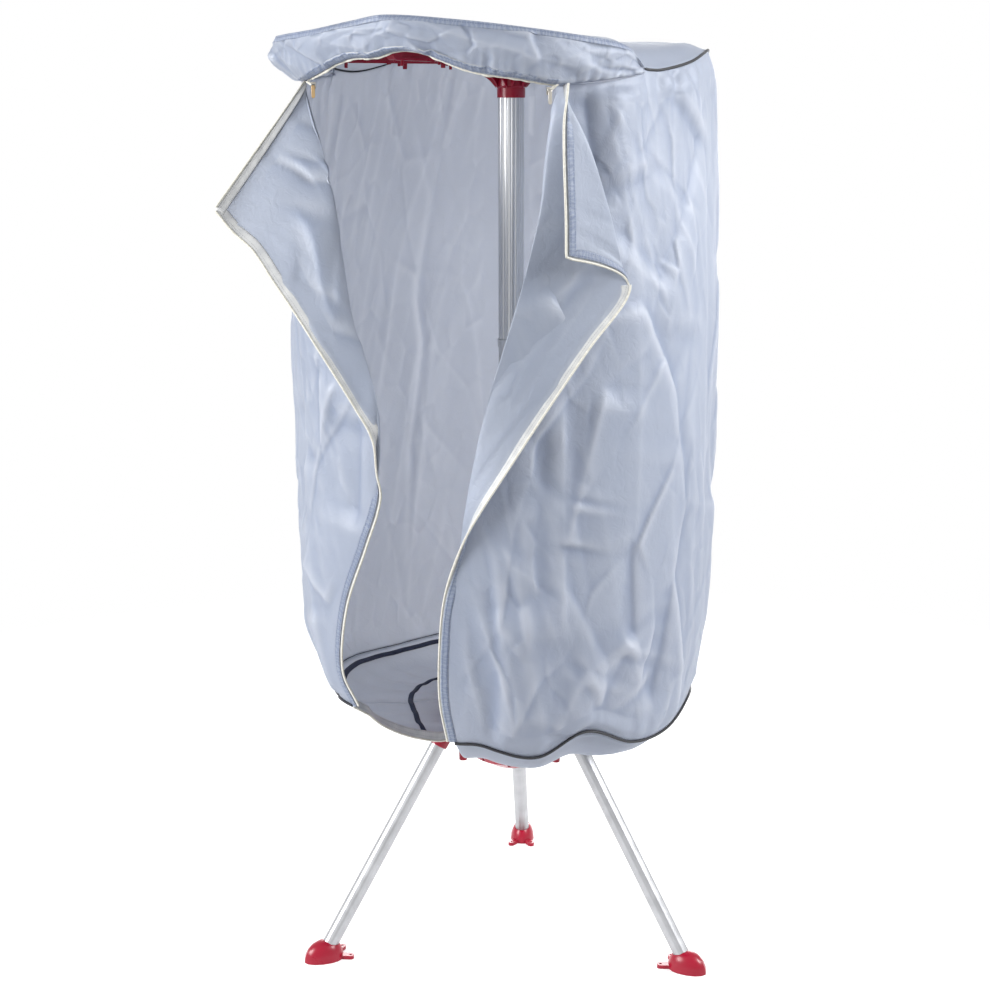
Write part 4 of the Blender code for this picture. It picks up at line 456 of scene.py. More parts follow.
def new_object(name, data):
    obj = bpy.data.objects.new(name, data)
    bpy.context.scene.collection.objects.link(obj)
    return obj


def grid_object(name, points, metres, thickness, wrap=False, painted_fold_shade=None):
    """A sheet through a grid of points, with a UV map in metres and one that carries the painted highlight on
    ridges and painted shade in valleys.
    """
    points = np.asarray(points, float)
    rows, columns = points.shape[:2]
    mesh = bpy.data.meshes.new(name)
    index = np.arange(rows * columns).reshape(rows, columns)
    quads = np.stack([index[:-1, :-1], index[:-1, 1:], index[1:, 1:], index[1:, :-1]], axis=-1).reshape(-1, 4)
    if wrap:
        last = np.stack([index[:-1, -1], index[:-1, 0], index[1:, 0], index[1:, -1]], axis=-1)
        quads = np.vstack([quads, last])
    mesh.from_pydata((points + OFF).reshape(-1, 3).tolist(), [], quads.tolist())
    loops = np.empty(len(mesh.loops), int)
    mesh.loops.foreach_get("vertex_index", loops)
    fold = np.zeros((rows, columns, 2))
    # The fold map's u carries painted shade: 1 paints a highlight on ridges, -1 paints shade in valleys.
    if painted_fold_shade is not None:
        fold[..., 0] = painted_fold_shade
    for map_name, values in (("metres", metres), ("fold", fold)):
        uv = mesh.uv_layers.new(name=map_name)
        uv.data.foreach_set("uv", values.reshape(-1, 2)[loops].reshape(-1).astype(np.float32))
    obj = new_object(name, mesh)
    mesh.shade_smooth()
    solid = obj.modifiers.new("thickness", "SOLIDIFY")
    solid.thickness = thickness
    solid.offset = 0.0
    return obj


def tube_object(name, points, radius):
    curve = bpy.data.curves.new(name, "CURVE")
    curve.dimensions = "3D"
    curve.bevel_depth = radius
    curve.bevel_resolution = 3
    curve.use_fill_caps = True
    spline = curve.splines.new("POLY")
    spline.points.add(len(points) - 1)
    for point, at in zip(spline.points, np.asarray(points) + OFF):
        point.co = (*at, 1)
    return new_object(name, curve)


def dress(obj, finish):
    obj.data.materials.clear()
    obj.data.materials.append(finish)
    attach(obj, BODY)
    return obj


def strip(name, line, across, widths, away, rise, depth, thickness, finish):
    """A strip along a line. Its points lie by the widths across it and by the rise away from it, and depth
    is the v of its UV map in metres. Returns the strip and its points."""
    points = line[:, None] + across[:, None] * widths[None, :, None] + away[:, None] * rise[..., None]
    metres = np.stack(np.broadcast_arrays(run_along(line)[:, None], depth[None]), axis=-1)
    return dress(grid_object(name, points, metres, thickness), finish), points


def cloth(name, points, metres, node_name=None, wrap=False, painted_fold_shade=None):
    obj = dress(grid_object(name, points, metres, FABRIC, wrap, painted_fold_shade), NYLON)
    if node_name:
        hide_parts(node_name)
    return obj


# Materials


def fill(tree, made, inputs):
    """Set a node's inputs, or link those whose value is another node's socket."""
    for key, value in inputs.items():
        if isinstance(value, bpy.types.NodeSocket):
            tree.links.new(value, made.inputs[key])
        else:
            made.inputs[key].default_value = value


def node(tree, kind, inputs=None, **settings):
    made = tree.nodes.new(kind)
    for key, value in settings.items():
        setattr(made, key, value)
    fill(tree, made, inputs or {})
    return made


def material(name):
    made = bpy.data.materials.new(name)
    made.use_nodes = True
    nodes = made.node_tree.nodes
    return made, made.node_tree, nodes["Principled BSDF"], nodes["Material Output"]


def math_node(tree, operation, *values):
    return node(tree, "ShaderNodeMath", dict(enumerate(values)), operation=operation).outputs[0]


def mix_colour(tree, factor, first, second):
    return node(tree, "ShaderNodeMix", {0: factor, 6: first, 7: second}, data_type="RGBA").outputs[2]


def ramp(tree, value, stops):
    made = node(tree, "ShaderNodeValToRGB", {0: value})
    for element, (position, colour) in zip(made.color_ramp.elements, stops):
        element.position = position
        element.color = colour
    return made.outputs[0]


def grain(tree, place, scale, detail, **more):
    inputs = {"Vector": place, "Scale": scale, "Detail": detail, **more}
    return node(tree, "ShaderNodeTexNoise", inputs).outputs[0]


def waves(tree, uv, axis, scale, **more):
    inputs = {"Vector": uv, "Scale": scale, **more}
    return node(tree, "ShaderNodeTexWave", inputs, bands_direction=axis).outputs["Fac"]


def bump(tree, height, strength, distance, **more):
    inputs = {"Height": height, "Strength": strength, "Distance": distance, **more}
    return node(tree, "ShaderNodeBump", inputs).outputs[0]


def spread(tree, value, low, high):
    return node(tree, "ShaderNodeMapRange", {0: value, 3: low, 4: high}).outputs[0]


def object_place(tree):
    return node(tree, "ShaderNodeTexCoord").outputs["Object"]


def uv_map(tree, name):
    return node(tree, "ShaderNodeUVMap", uv_map=name).outputs[0]


def linear(r, g, b):
    """A display colour, from 0 to 255, as the linear colour that a shader takes."""
    done = []
    for value in (r, g, b):
        value /= 255
        done.append(value / 12.92 if value <= 0.04045 else ((value + 0.055) / 1.055) ** 2.4)
    return (*done, 1.0)


def stitches(tree, uv, rows, half, pitch=0.0033):
    """1 on the dashes of stitch rows at these distances v from the edge, 0 elsewhere."""
    split = node(tree, "ShaderNodeSeparateXYZ", {0: uv})
    step = math_node(tree, "FRACT", math_node(tree, "DIVIDE", split.outputs[0], pitch))
    dash = math_node(tree, "LESS_THAN", step, 0.7)
    total = 0.0
    for row in rows:
        off = math_node(tree, "ABSOLUTE", math_node(tree, "SUBTRACT", split.outputs[1], row))
        total = math_node(tree, "MAXIMUM", total, math_node(tree, "LESS_THAN", off, half))
    return math_node(tree, "MULTIPLY", total, dash)


def fabric_material(stitched=False):
    """Thin woven nylon: a soft sheen, light that comes through it, fine weave and small creases, with a
    painted highlight on ridges and painted shade in valleys. Along a hem, whose v runs from its edge, it has
    the painted shade of puckers and two rows of stitches."""
    made, tree, shader, output = material("nylon_hem" if stitched else "nylon")
    place = object_place(tree)
    uv = uv_map(tree, "metres")
    shades = ((0.35, linear(164, 173, 190)), (0.65, linear(175, 183, 198)))
    tint = ramp(tree, grain(tree, place, 5.0, 2.0), shades)
    threads = (waves(tree, uv, axis, 420.0, Distortion=0.4) for axis in "XY")
    weave = math_node(tree, "ADD", *threads)
    small = grain(tree, place, 55.0, 3.0, Distortion=0.6)
    crinkle = math_node(tree, "ABSOLUTE", math_node(tree, "SUBTRACT", small, 0.5))
    creased = bump(tree, crinkle, 0.2, 0.006)
    normal = bump(tree, weave, 0.10, 0.0003, Normal=creased)
    colour = mix_colour(tree, math_node(tree, "MULTIPLY", weave, 0.04), tint, linear(158, 167, 188))
    # Painted light: ridges are painted paler as a highlight, valleys painted darker as shade.
    painted_highlight = node(tree, "ShaderNodeSeparateXYZ", {0: uv_map(tree, "fold")}).outputs[0]
    painted_valley_shade = math_node(tree, "MULTIPLY", painted_highlight, -1.0)
    for side, painted_colour in ((painted_highlight, linear(216, 220, 228)), (painted_valley_shade, linear(122, 138, 168))):
        factor = math_node(tree, "MULTIPLY", math_node(tree, "MAXIMUM", side, 0.0), 0.5)
        colour = mix_colour(tree, factor, colour, painted_colour)
    if stitched:
        seam = stitches(tree, uv, (0.0022, 0.0085), 0.0007)
        # Painted shade of puckers: dark wavy bands along the hem, in the colour only.
        pucker_shade = waves(tree, uv, "X", 52.0, Distortion=9.0, Detail=2.0, **{"Detail Scale": 1.2})
        colour = mix_colour(tree, math_node(tree, "MULTIPLY", pucker_shade, 0.62), colour, linear(112, 130, 166))
        colour = mix_colour(tree, math_node(tree, "MULTIPLY", seam, 0.85), colour, linear(92, 108, 142))
        normal = bump(tree, seam, -0.8, 0.0010, Normal=normal)
    looks = {"Roughness": 0.5, "Specular IOR Level": 0.6, "Metallic": 0.06, "Sheen Weight": 0.25}
    fill(tree, shader, {**looks, "Sheen Roughness": 0.35, "Base Color": colour, "Normal": normal})
    pale = mix_colour(tree, 0.7, colour, (0.95, 0.95, 0.955, 1))
    through = node(tree, "ShaderNodeBsdfTranslucent", {"Color": pale, "Normal": creased})
    mixed = node(tree, "ShaderNodeMixShader", {0: 0.42, 1: shader.outputs[0], 2: through.outputs[0]})
    tree.links.new(mixed.outputs[0], output.inputs[0])
    return made


def plastic_material():
    """Glossy moulded plastic with a faint orange peel and a slight colour drift."""
    made, tree, shader, _ = material("crimson_plastic")
    place = object_place(tree)
    shades = ((0.3, linear(146, 8, 38)), (0.7, linear(164, 12, 46)))
    colour = ramp(tree, grain(tree, place, 12.0, 2.0), shades)
    peel = bump(tree, grain(tree, place, 900.0, 1.0), 0.08, 0.0004)
    roughness = spread(tree, grain(tree, place, 60.0, 3.0), 0.22, 0.38)
    looks = {"Specular IOR Level": 0.35, "Coat Weight": 0.1, "Coat Roughness": 0.15}
    fill(tree, shader, {**looks, "Base Color": colour, "Normal": peel, "Roughness": roughness})
    return made


def aluminium_material():
    """Satin anodised aluminium with fine lines along the tube."""
    made, tree, shader, _ = material("anodised_aluminium")
    stretched = node(tree, "ShaderNodeMapping", {0: object_place(tree), 3: (400.0, 400.0, 3.0)}).outputs[0]
    lines = grain(tree, stretched, 1.0, 3.0)
    colour = ramp(tree, lines, ((0.3, (0.56, 0.57, 0.58, 1)), (0.7, (0.68, 0.69, 0.70, 1))))
    normal = bump(tree, lines, 0.05, 0.0002)
    looks = {"Metallic": 0.65, "Roughness": spread(tree, lines, 0.28, 0.42)}
    fill(tree, shader, {**looks, "Base Color": colour, "Normal": normal})
    return made


def plain_material(name, low, high, roughness, metallic=0.0, scale=40.0):
    """A surface whose colour drifts a little between two display colours, with fine grain."""
    made, tree, shader, _ = material(name)
    place = object_place(tree)
    cloud = grain(tree, place, scale, 3.0)
    colour = ramp(tree, cloud, ((0.3, linear(*low)), (0.7, linear(*high))))
    normal = bump(tree, grain(tree, place, 600.0, 2.0), 0.12, 0.0004)
    rough = spread(tree, cloud, roughness * 0.8, min(roughness * 1.2, 1.0))
    fill(tree, shader, {"Metallic": metallic, "Base Color": colour, "Roughness": rough, "Normal": normal})
    return made


def tape_material():
    """Satin zip tape: u runs along it, v across it from the coil to the fabric. Two rows of stitches."""
    made, tree, shader, _ = material("zip_tape")
    uv = uv_map(tree, "metres")
    ribs = waves(tree, uv, "X", 230.0)
    shades = ((0.3, linear(190, 192, 194)), (0.7, linear(214, 215, 214)))
    cream = ramp(tree, grain(tree, uv, 60.0, 2.0), shades)
    stitch = stitches(tree, uv, (0.0060, 0.0125), 0.0004)
    colour = mix_colour(tree, math_node(tree, "MULTIPLY", stitch, 0.55), cream, linear(150, 152, 160))
    sunk = math_node(tree, "MULTIPLY", stitch, -1.0)
    normal = bump(tree, math_node(tree, "ADD", math_node(tree, "MULTIPLY", ribs, 0.25), sunk), 0.35, 0.0005)
    fill(tree, shader, {"Roughness": 0.5, "Sheen Weight": 0.2, "Base Color": colour, "Normal": normal})
    return made


NYLON = fabric_material()
HEM_CLOTH = fabric_material(stitched=True)
PLASTIC = plastic_material()
ALUMINIUM = aluminium_material()
TAPE = tape_material()
COIL = plain_material("zip_coil", (205, 202, 190), (228, 226, 216), 0.5, scale=300.0)
PIPING = plain_material("black_piping", (14, 15, 20), (30, 32, 40), 0.55, scale=200.0)
BINDING = plain_material("navy_binding", (40, 46, 66), (60, 66, 88), 0.7, scale=200.0)
NICKEL = plain_material("nickel", (170, 166, 158), (200, 196, 188), 0.28, 1.0)
BRASS = plain_material("gold_puller", (170, 140, 100), (200, 172, 130), 0.35, 0.9)
LEG_SATIN = plain_material("leg_aluminium", (164, 165, 168), (178, 179, 182), 0.36, 0.9)
STEEL = plain_material("steel", (150, 152, 156), (190, 192, 196), 0.35, 1.0)
CHARCOAL = plain_material("charcoal_plastic", (34, 35, 38), (48, 49, 53), 0.5)
CERAMIC = plain_material("ceramic", (190, 172, 140), (206, 190, 160), 0.7)


# The cover's lines


def cover_points(azimuth, radius, height):
    angle = np.radians(azimuth)
    x, y = COVER_LEAN + radius * np.cos(angle), radius * np.sin(angle)
    return np.stack(np.broadcast_arrays(x, y, height), axis=-1)


def table_points(rows, azimuth_column):
    """Points of the cover from three columns of a table: azimuth, radius share and height share."""
    azimuth, radius, height = rows[:, azimuth_column : azimuth_column + 3].T
    return cover_points(azimuth, COVER_RADIUS * radius, COVER_BASE_Z + COVER_HEIGHT * height)


def lid_line(table, azimuth):
    found = follow(table, azimuth)
    return COVER_RADIUS * found[..., 0], ARM_TOP_Z + LID_RISE * found[..., 1]


def rim(azimuth):
    """Radius and height of the top seam, all the way round."""
    first, last = RIM[0][0], RIM[-1][0]
    return lid_line(RIM, first + (np.asarray(azimuth, float) - first) % (last - first))


def wall_top(azimuth):
    """Radius and height of the wall's top edge: at the lid's zip in front, at the top seam elsewhere."""
    azimuth = np.asarray(azimuth, float)
    low = np.where(azimuth > LID_RANGE[1] + 180, azimuth - 360, azimuth)
    seam_radius, seam = rim(azimuth)
    zip_radius, zip_height = lid_line(LID_EDGE, low)
    inside = smooth((LID_RANGE[1] + 1.0 - low) / 2) * smooth((low - LID_RANGE[0] + 1.0) / 2)
    radius = seam_radius + (zip_radius - seam_radius) * inside
    return radius, seam - 0.001 + (zip_height + 0.001 - seam) * inside


def wall_bottom(azimuth):
    azimuth = np.asarray(azimuth, float)
    at = np.where(azimuth > BOTTOM[0][0], azimuth, azimuth + 360)
    return COVER_BASE_Z + COVER_HEIGHT * follow(BOTTOM, at)[..., 0]


def folds(azimuth, share):
    """Soft upright folds, deepest towards the top seam."""
    angle = np.radians(azimuth)
    waves_round = np.sin(7 * angle + 0.6) + 0.6 * np.sin(12 * angle + 2.1)
    return FOLD_DEPTH * waves_round * np.sin(math.pi * np.clip(share, 0, 1)) ** 0.5 * (0.35 + 0.65 * share)


def gathers(azimuth, share):
    """Small puckers under the top seam and over the bottom seam."""
    angle = np.radians(azimuth)
    uneven = 0.55 + 0.45 * np.sin(9 * angle + 1.0)
    under = smooth((1 - share) / 0.012)
    top = np.sin(60 * angle + 3 * np.sin(5 * angle)) * np.exp(-(1 - share) / 0.045) * under
    base = np.sin(44 * angle + 2 * np.sin(7 * angle)) * np.exp(-share / 0.05) * smooth(share / 0.012)
    return (0.0042 * top + 0.0030 * base) * uneven


def wall_points(azimuth, share):
    """The closed cover's wall at each azimuth and share of its height."""
    low = wall_bottom(azimuth)
    top_radius, high = wall_top(azimuth)
    height = low + (high - low) * share
    radius = COVER_RADIUS * follow(WALL_PROFILE, share)[..., 0]
    tucked = TUCK * smooth(1 - share / 0.14) * np.exp(-(((np.asarray(azimuth, float) - 196) / 34) ** 2))
    blend = share**8
    radius = radius * (1 - tucked) * (1 - blend) + top_radius * blend + folds(azimuth, share)
    return cover_points(azimuth, radius + gathers(azimuth, share), height)


# The walls with their flaps


def edge_directions(corner, free, azimuth, share, way, turn):
    """The way out of the cloth along its free edge: round the cover low down, then outwards, then back."""
    angle = np.radians(azimuth)
    ahead = np.stack([-np.sin(angle), np.cos(angle), np.zeros_like(angle)], axis=-1) * way
    outward = np.stack([np.cos(angle), np.sin(angle), np.zeros_like(angle)], axis=-1)
    turned = smooth((share - turn[0]) / (turn[1] - turn[0]))
    mixed = ahead * (1 - turned) + unit(free - corner) * turned + outward * 3 * turned * (1 - turned)
    return smoothed(beside(mixed, tangents(free)), 12)


def wall_side(table, full_turn, turn):
    """A wall and its flap as one grid, the cloth's own way round, how calm it hangs, its edge's way out."""
    share = np.linspace(0, 1, WALL_ROWS + 1)[:, None]
    values = follow(table, share[:, 0])
    fold_azimuth = values[:, 0:1] + full_turn
    columns = np.linspace(0, 1, WALL_COLUMNS)[None, :] ** WALL_SPREAD
    azimuth = (BACK_SEAM + (fold_azimuth - BACK_SEAM) * columns)[:, :-1]
    share = np.broadcast_to(share, azimuth.shape)

    near = smooth(1 - np.abs(fold_azimuth - azimuth) / FOLD_EASE)[..., None]
    flat = wall_points(azimuth, share) - MIDDLE
    radius = np.linalg.norm(flat[..., :2], axis=-1, keepdims=True)
    wanted = COVER_RADIUS * values[:, 1][:, None, None]
    flat[..., :2] *= (radius + (wanted - radius) * near) / radius
    points = flat + MIDDLE
    fold_height = COVER_BASE_Z + COVER_HEIGHT * values[:, 2][:, None]
    points[..., 2] += (fold_height - points[..., 2]) * near[..., 0]

    corner, free = table_points(values, 0), table_points(values, 3)
    ahead = unit(corner - points[:, -1])
    way = 1 if full_turn else -1
    out = edge_directions(corner, free, values[:, 3], share[:, :1], way, turn)
    free = free - out * EDGE_INSET
    reach = np.linalg.norm(free - corner, axis=-1, keepdims=True)
    back = (1 - smooth(dot(unit(free - corner), ahead))) * np.minimum(reach / LAPEL_FULL, 1)
    roll = FOLD_ROLL * back + reach * 0.4 * (1 - back)
    outward = unit((corner - MIDDLE) * LEVEL)
    third = free * 0.45 + corner * 0.55 + outward * LAPEL_SPREAD * back
    third = third + (free - out * np.minimum(reach * 0.45, 0.03) - third) * LAPEL_EDGE
    flap = bezier((corner, corner + ahead * roll, third, free), FLAP_POINTS)

    s = np.radians(azimuth) * COVER_RADIUS
    cloth_s = np.concatenate([s, s[:, -1:] + arc_lengths(flap) * way], axis=1)
    steady = np.clip(reach / CALM_REACH, CALM_LEAST, 1) * CALM_FLAP
    near_fold = smooth(1 - np.abs(fold_azimuth - azimuth) / CALM_SPAN)
    from_seam = smooth(np.abs(azimuth - BACK_SEAM) / SEAM_SPAN)
    calm_wall = (1 + (steady - 1) * near_fold) * from_seam
    calm = np.concatenate([calm_wall, np.broadcast_to(steady, (len(steady), FLAP_POINTS))], axis=1)
    return np.concatenate([points, flap], axis=1), cloth_s, calm, out


def fade_ends(share, reach):
    return smooth(share / reach) * smooth((1 - share) / reach)


def wall(table, full_turn, turn, creases, seed, sign):
    """A wall with its flap, folds and creases: its grid, the cloth's own way round, its painted shade of
    ridges and valleys, and the way out of its free edge. The sign tells on which side of the grid ridges
    stand."""
    points, s, calm, out = wall_side(table, full_turn, turn)
    share = np.broadcast_to(np.linspace(0, 1, WALL_ROWS + 1)[:, None], s.shape)
    z = points[..., 2]
    amount = wrinkles(s, z, seed) * calm * fade_ends(share, 0.03)
    for start, end, depth, width, lean in creases:
        ends = ((math.radians(azimuth) * COVER_RADIUS, height) for azimuth, height in (start, end))
        amount = amount + crease(s, z, *ends, depth * CREASE_GAIN, width, lean) * fade_ends(share, 0.02)
    return displace(points, amount * sign), s, painted_shade_mask(amount), out


def turned_corner(points):
    """The upper corner of the right flap, turned outwards along the flap's free edge."""
    at = follow(CORNER, np.arange(CORNER_FIRST, WALL_ROWS + 1) / WALL_ROWS)
    fold, free = points[CORNER_FIRST:, -1], table_points(at, 0)
    ahead = unit(fold - points[CORNER_FIRST:, -2])
    roll = np.minimum(FOLD_ROLL, np.linalg.norm(free - fold, axis=-1, keepdims=True)) * 0.6
    corner = bezier((fold, fold + ahead * roll, free * 0.45 + fold * 0.55, free), CORNER_POINTS)
    across = np.linspace(0, 1, CORNER_POINTS)[None, :]
    arch = np.sin(math.pi * np.clip(across * 1.05 - 0.02, 0, 1)) ** 0.8
    corner[..., 2] += CORNER_LIFT * (np.exp(-np.arange(len(at))[:, None] / 9.0) * arch)
    return corner


def metres_of(s, z):
    return np.stack([s, z], axis=-1)


# Each wall also gives the painted shade of its ridges and valleys.
left_points, left_s, left_painted_shade, left_out = wall(LEFT, 360, LEFT_TURN, LEFT_CREASES, 11, 1.0)
right_points, right_s, right_painted_shade, right_out = wall(RIGHT, 0, RIGHT_TURN, RIGHT_CREASES, 23, -1.0)
right_corner = turned_corner(right_points)
left_metres, right_metres = metres_of(left_s, left_points[..., 2]), metres_of(right_s, right_points[..., 2])
wall_left = cloth("wall_left", left_points, left_metres, "cover_wall_left", painted_fold_shade=left_painted_shade)
wall_right = cloth("wall_right", right_points, right_metres, "cover_wall_right", painted_fold_shade=right_painted_shade)
cloth("wall_right_corner", right_corner, metres_of(arc_lengths(right_corner), right_corner[..., 2]))

# The lid band over the horizontal zip, and the hem along its top

lid_azimuths = np.linspace(LID_RANGE[0] - LID_LAP, LID_RANGE[1] - LID_STOP, LID_COLUMNS)


def lid_grid():
    """The lid's grid of points, the cloth's own way round, its heights before the folds, and its painted
    shade of ridges and valleys.
    """
    share = np.linspace(0, 1, LID_ROWS)[:, None]
    low_radius, low_z = lid_line(LID_EDGE, lid_azimuths)
    high_radius, high_z = rim(lid_azimuths)
    lapped = np.maximum(LID_RANGE[0] + 1 - lid_azimuths, lid_azimuths - LID_RANGE[1] + 1)
    puffed = COVER_RADIUS * follow(LID_BULGE, lid_azimuths)[..., 0] * np.sin(math.pi * share)
    radius = low_radius + (high_radius - low_radius) * share + (puffed + LID_LAP_OUT * smooth(lapped))
    z = low_z + (high_z - low_z) * share
    points = cover_points(np.broadcast_to(lid_azimuths, radius.shape), radius, z)
    s = np.broadcast_to(np.radians(lid_azimuths) * COVER_RADIUS, radius.shape)
    up = share * LID_HEIGHT
    gather = ridges(s * 62, up * 10, 5, 3) * 0.0026 * np.exp(-share / 0.28) * smooth(share / 0.08)
    crumpled = facets(s * 17 + up * 6, up * 26, 6, 14) * 0.0058
    crumpled = crumpled + facets(s * 38 - up * 8, up * 50, 7, 14) * 0.0022
    rolls = ridges(s * 6, up * 28 + s * 2, 8) * 0.0030
    amount = gather + (crumpled + rolls) * smooth((1 - share) / 0.16) * smooth(share / 0.12)
    # Painted shade of the lid's creases: paler on ridges and darker in valleys.
    painted_fold_shade = painted_shade_mask(np.pad(amount, 12, mode="edge"), 6)[12:-12, 12:-12]
    return displace(points, amount), s, z, painted_fold_shade


lid_points, lid_s, lid_z, lid_painted_shade = lid_grid()
lid = cloth("lid_band", lid_points, metres_of(lid_s, lid_z), "cover_lid_band", painted_fold_shade=lid_painted_shade)
hem_line = lid_points[-1] - np.array([0, 0, 0.0004])
hem_down = unit(lid_points[-4] - lid_points[-1])
hem_face = unit(hem_line * LEVEL - MIDDLE)
hem_widths = np.linspace(-0.0006, 0.0075, 6)
hem_rise = 0.0011 + noise(run_along(hem_line)[:, None] * 140, hem_widths[None] * 120, 78) * 0.0006
strip("lid_hem", hem_line, hem_down, hem_widths, hem_face, hem_rise, hem_widths, 0.0008, HEM_CLOTH)

# The top panel, sagging between the arms

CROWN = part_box("top_cap")[1][2] + 0.0012
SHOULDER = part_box("top_hub")[1][2] + 0.0016
TIP = ARM_TOP_Z + 0.0017
TIP_REACH = 0.29
FLARE_RADIUS = (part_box("top_hub")[1][0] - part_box("top_hub")[0][0]) / 2


def ridge_height(reach):
    """The cloth's height over an arm: from the hub's cap over its shoulder to the arm's tip."""
    near = CROWN + (SHOULDER - CROWN) * smooth(reach / FLARE_RADIUS * 1.6 - 0.6)
    far = SHOULDER + (TIP - SHOULDER) * np.clip((reach - FLARE_RADIUS) / (TIP_REACH - FLARE_RADIUS), 0, 1)
    return np.where(reach < FLARE_RADIUS, near, far)


def top_grid():
    azimuths = np.linspace(-180, 180, TOP_COLUMNS + 1)[:-1]
    share = np.linspace(0.02, 1, TOP_ROWS)[:, None]
    radius, height = rim(azimuths)
    points = cover_points(np.broadcast_to(azimuths, (TOP_ROWS, TOP_COLUMNS)), radius * share, 0)
    edge = cover_points(azimuths, radius, 0)
    at_edge = ridge_height(np.hypot(edge[..., 0], edge[..., 1]))
    puff = 0.009 * smooth((share - 0.25) / 0.4) * smooth((1 - share) / 0.12)
    level = ridge_height(np.hypot(points[..., 0], points[..., 1]))
    points[..., 2] = level + (height - at_edge) * share**6 + puff
    sag = noise(points[..., 0] * 14, points[..., 1] * 14, 31) * 0.0024
    points[..., 2] += np.abs(sag) * smooth((1 - share) / 0.15) * smooth(share / 0.2)
    return points


top_points = top_grid()
top = cloth("top_panel", top_points, top_points[..., :2], "cover_top", wrap=True)

# The floor panel round the hub's drum, open along its slit

floor_edge = np.concatenate([right_points[0, :WALL_COLUMNS][::-1], left_points[0, 1:WALL_COLUMNS]])


def floor_grid():
    """The floor's grid of points, whose last column is the slit's left edge."""
    count = len(floor_edge)
    near_slit = np.abs(2 * np.arange(count) / (count - 1) - 1) ** 12
    share = np.linspace(0, 1, FLOOR_ROWS)[:, None]
    flat_edge = floor_edge[:, :2]
    length = np.linalg.norm(flat_edge, axis=1, keepdims=True)
    inner = flat_edge / length * (HUB_RADIUS + 0.0012)
    outer = flat_edge * (1 - 0.001 / length)
    xy = inner[None] + (outer - inner)[None] * share[..., None]
    sags = follow(FLOOR, share[:, 0])
    sag = FLOOR_SAG * (sags[:, 0:1] + (sags[:, 1:2] - sags[:, 0:1]) * near_slit[None])
    level = COVER_BASE_Z - FLOOR_DROP
    z = level + (floor_edge[:, 2][None] - 0.001 - level) * share**3 - sag
    angle = np.degrees(np.arctan2(xy[..., 1], xy[..., 0] - COVER_LEAN))
    middle = np.sin(math.pi * share)
    radial = np.sin(angle * math.pi / 180 * 26 + 2 * np.sin(angle / 20)) * middle * 0.0016
    front = np.exp(-(((angle + 66) / 34) ** 2)) * np.exp(-(((share - 0.72) / 0.26) ** 2)) * FRONT_SAG
    z = z - front + radial + noise(xy[..., 0] * 22, xy[..., 1] * 22, 41) * 0.003 * middle
    points = np.concatenate([xy, z[..., None]], axis=-1)
    slit = table_heights(follow(SLIT, share[:, 0]))
    slit[-1] = points[-1, -1]
    pull = smooth((np.arange(count) - count * 0.80) / (count * 0.20))[None, :, None]
    return points + (slit - points[:, -1])[:, None] * pull, slit


def table_heights(rows):
    """Points of the cover from azimuth, radius share and height in metres."""
    return cover_points(rows[:, 0], COVER_RADIUS * rows[:, 1], rows[:, 2])


floor_points, slit_line = floor_grid()
floor = cloth("floor_panel", floor_points, floor_points[..., :2], "cover_floor")


# Zip tapes with their coils and hems


def edge_tape(name, edge, out, inner, node_name=None, hem=True, coil_radius=COIL_RADIUS):
    """A zip tape along an edge: part of it over the cloth's inner face, part beyond it, with its coil. On the
    outer face the cloth is turned under and stitched."""
    out, inner = unit(out), unit(inner)
    widths = np.linspace(TAPE_BEYOND, -TAPE_OVER, 9)
    lift = np.full((1, 9), FABRIC * 0.5 + 0.0005)
    depth = TAPE_BEYOND - widths
    tape, points = strip(name, edge, out, widths, inner, lift, depth, TAPE_THICKNESS, TAPE)
    if node_name:
        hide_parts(node_name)
    dress(tube_object(name + "_coil", points[:, 0] - out * 0.0004, coil_radius), COIL)
    if hem:
        run = run_along(edge)
        across = np.linspace(0.0006, -HEM_WIDTH, 7)
        pucker = noise(run[:, None] * 150, across[None] * 90 + run[:, None] * 30, 77) * 0.0011
        rise = FABRIC * 0.9 + 0.0003 + pucker
        rise[:, -1] = FABRIC * 0.3
        strip(name + "_hem", edge, out, across, -inner, rise, -across, HEM_THICKNESS, HEM_CLOTH)


def along_edge(points, out):
    """Of a wall's free edge: the points, the way out and the cloth's normal."""
    edge = points[:, -1]
    along = tangents(edge)
    out = unit(beside(out, along))
    return edge, out, smoothed(np.cross(along, out), 6)


def across_grid(points):
    """Of a grid's last column: the points, the direction out of the cloth and the cloth's normal there."""
    edge = points[:, -1]
    along = tangents(edge)
    out = smoothed(unit(beside(edge - points[:, -4], along)), 24)
    return edge, out, unit(np.cross(along, out))


def line_and_side(row, next_row):
    """Of a grid's first or last row: the points, the direction out of the cloth and the cloth's normal."""
    out = unit(row - next_row)
    return row, out, unit(np.cross(tangents(row), out))


edge_tape("zip_tape_left_sewn", *along_edge(left_points, left_out), "zip_tape_left")
right_lines = along_edge(right_points, right_out)
right_edge, right_way, right_normal = (line[: CORNER_FIRST + 1] for line in right_lines)
edge_tape("zip_tape_right_sewn", right_edge, right_way, -right_normal, "zip_tape_right")

corner_edge, corner_out, corner_normal = across_grid(right_corner)
foot_line = right_corner[0, 1:-1]
foot_out = unit(foot_line - right_corner[3, 1:-1])
foot_normal = np.broadcast_to(corner_normal[0], foot_line.shape)
corner_line = np.concatenate([foot_line, corner_edge])
corner_outs = smoothed(np.concatenate([foot_out, corner_out]), 5)
edge_tape("zip_tape_corner", corner_line, corner_outs, np.concatenate([-foot_normal, -corner_normal]))

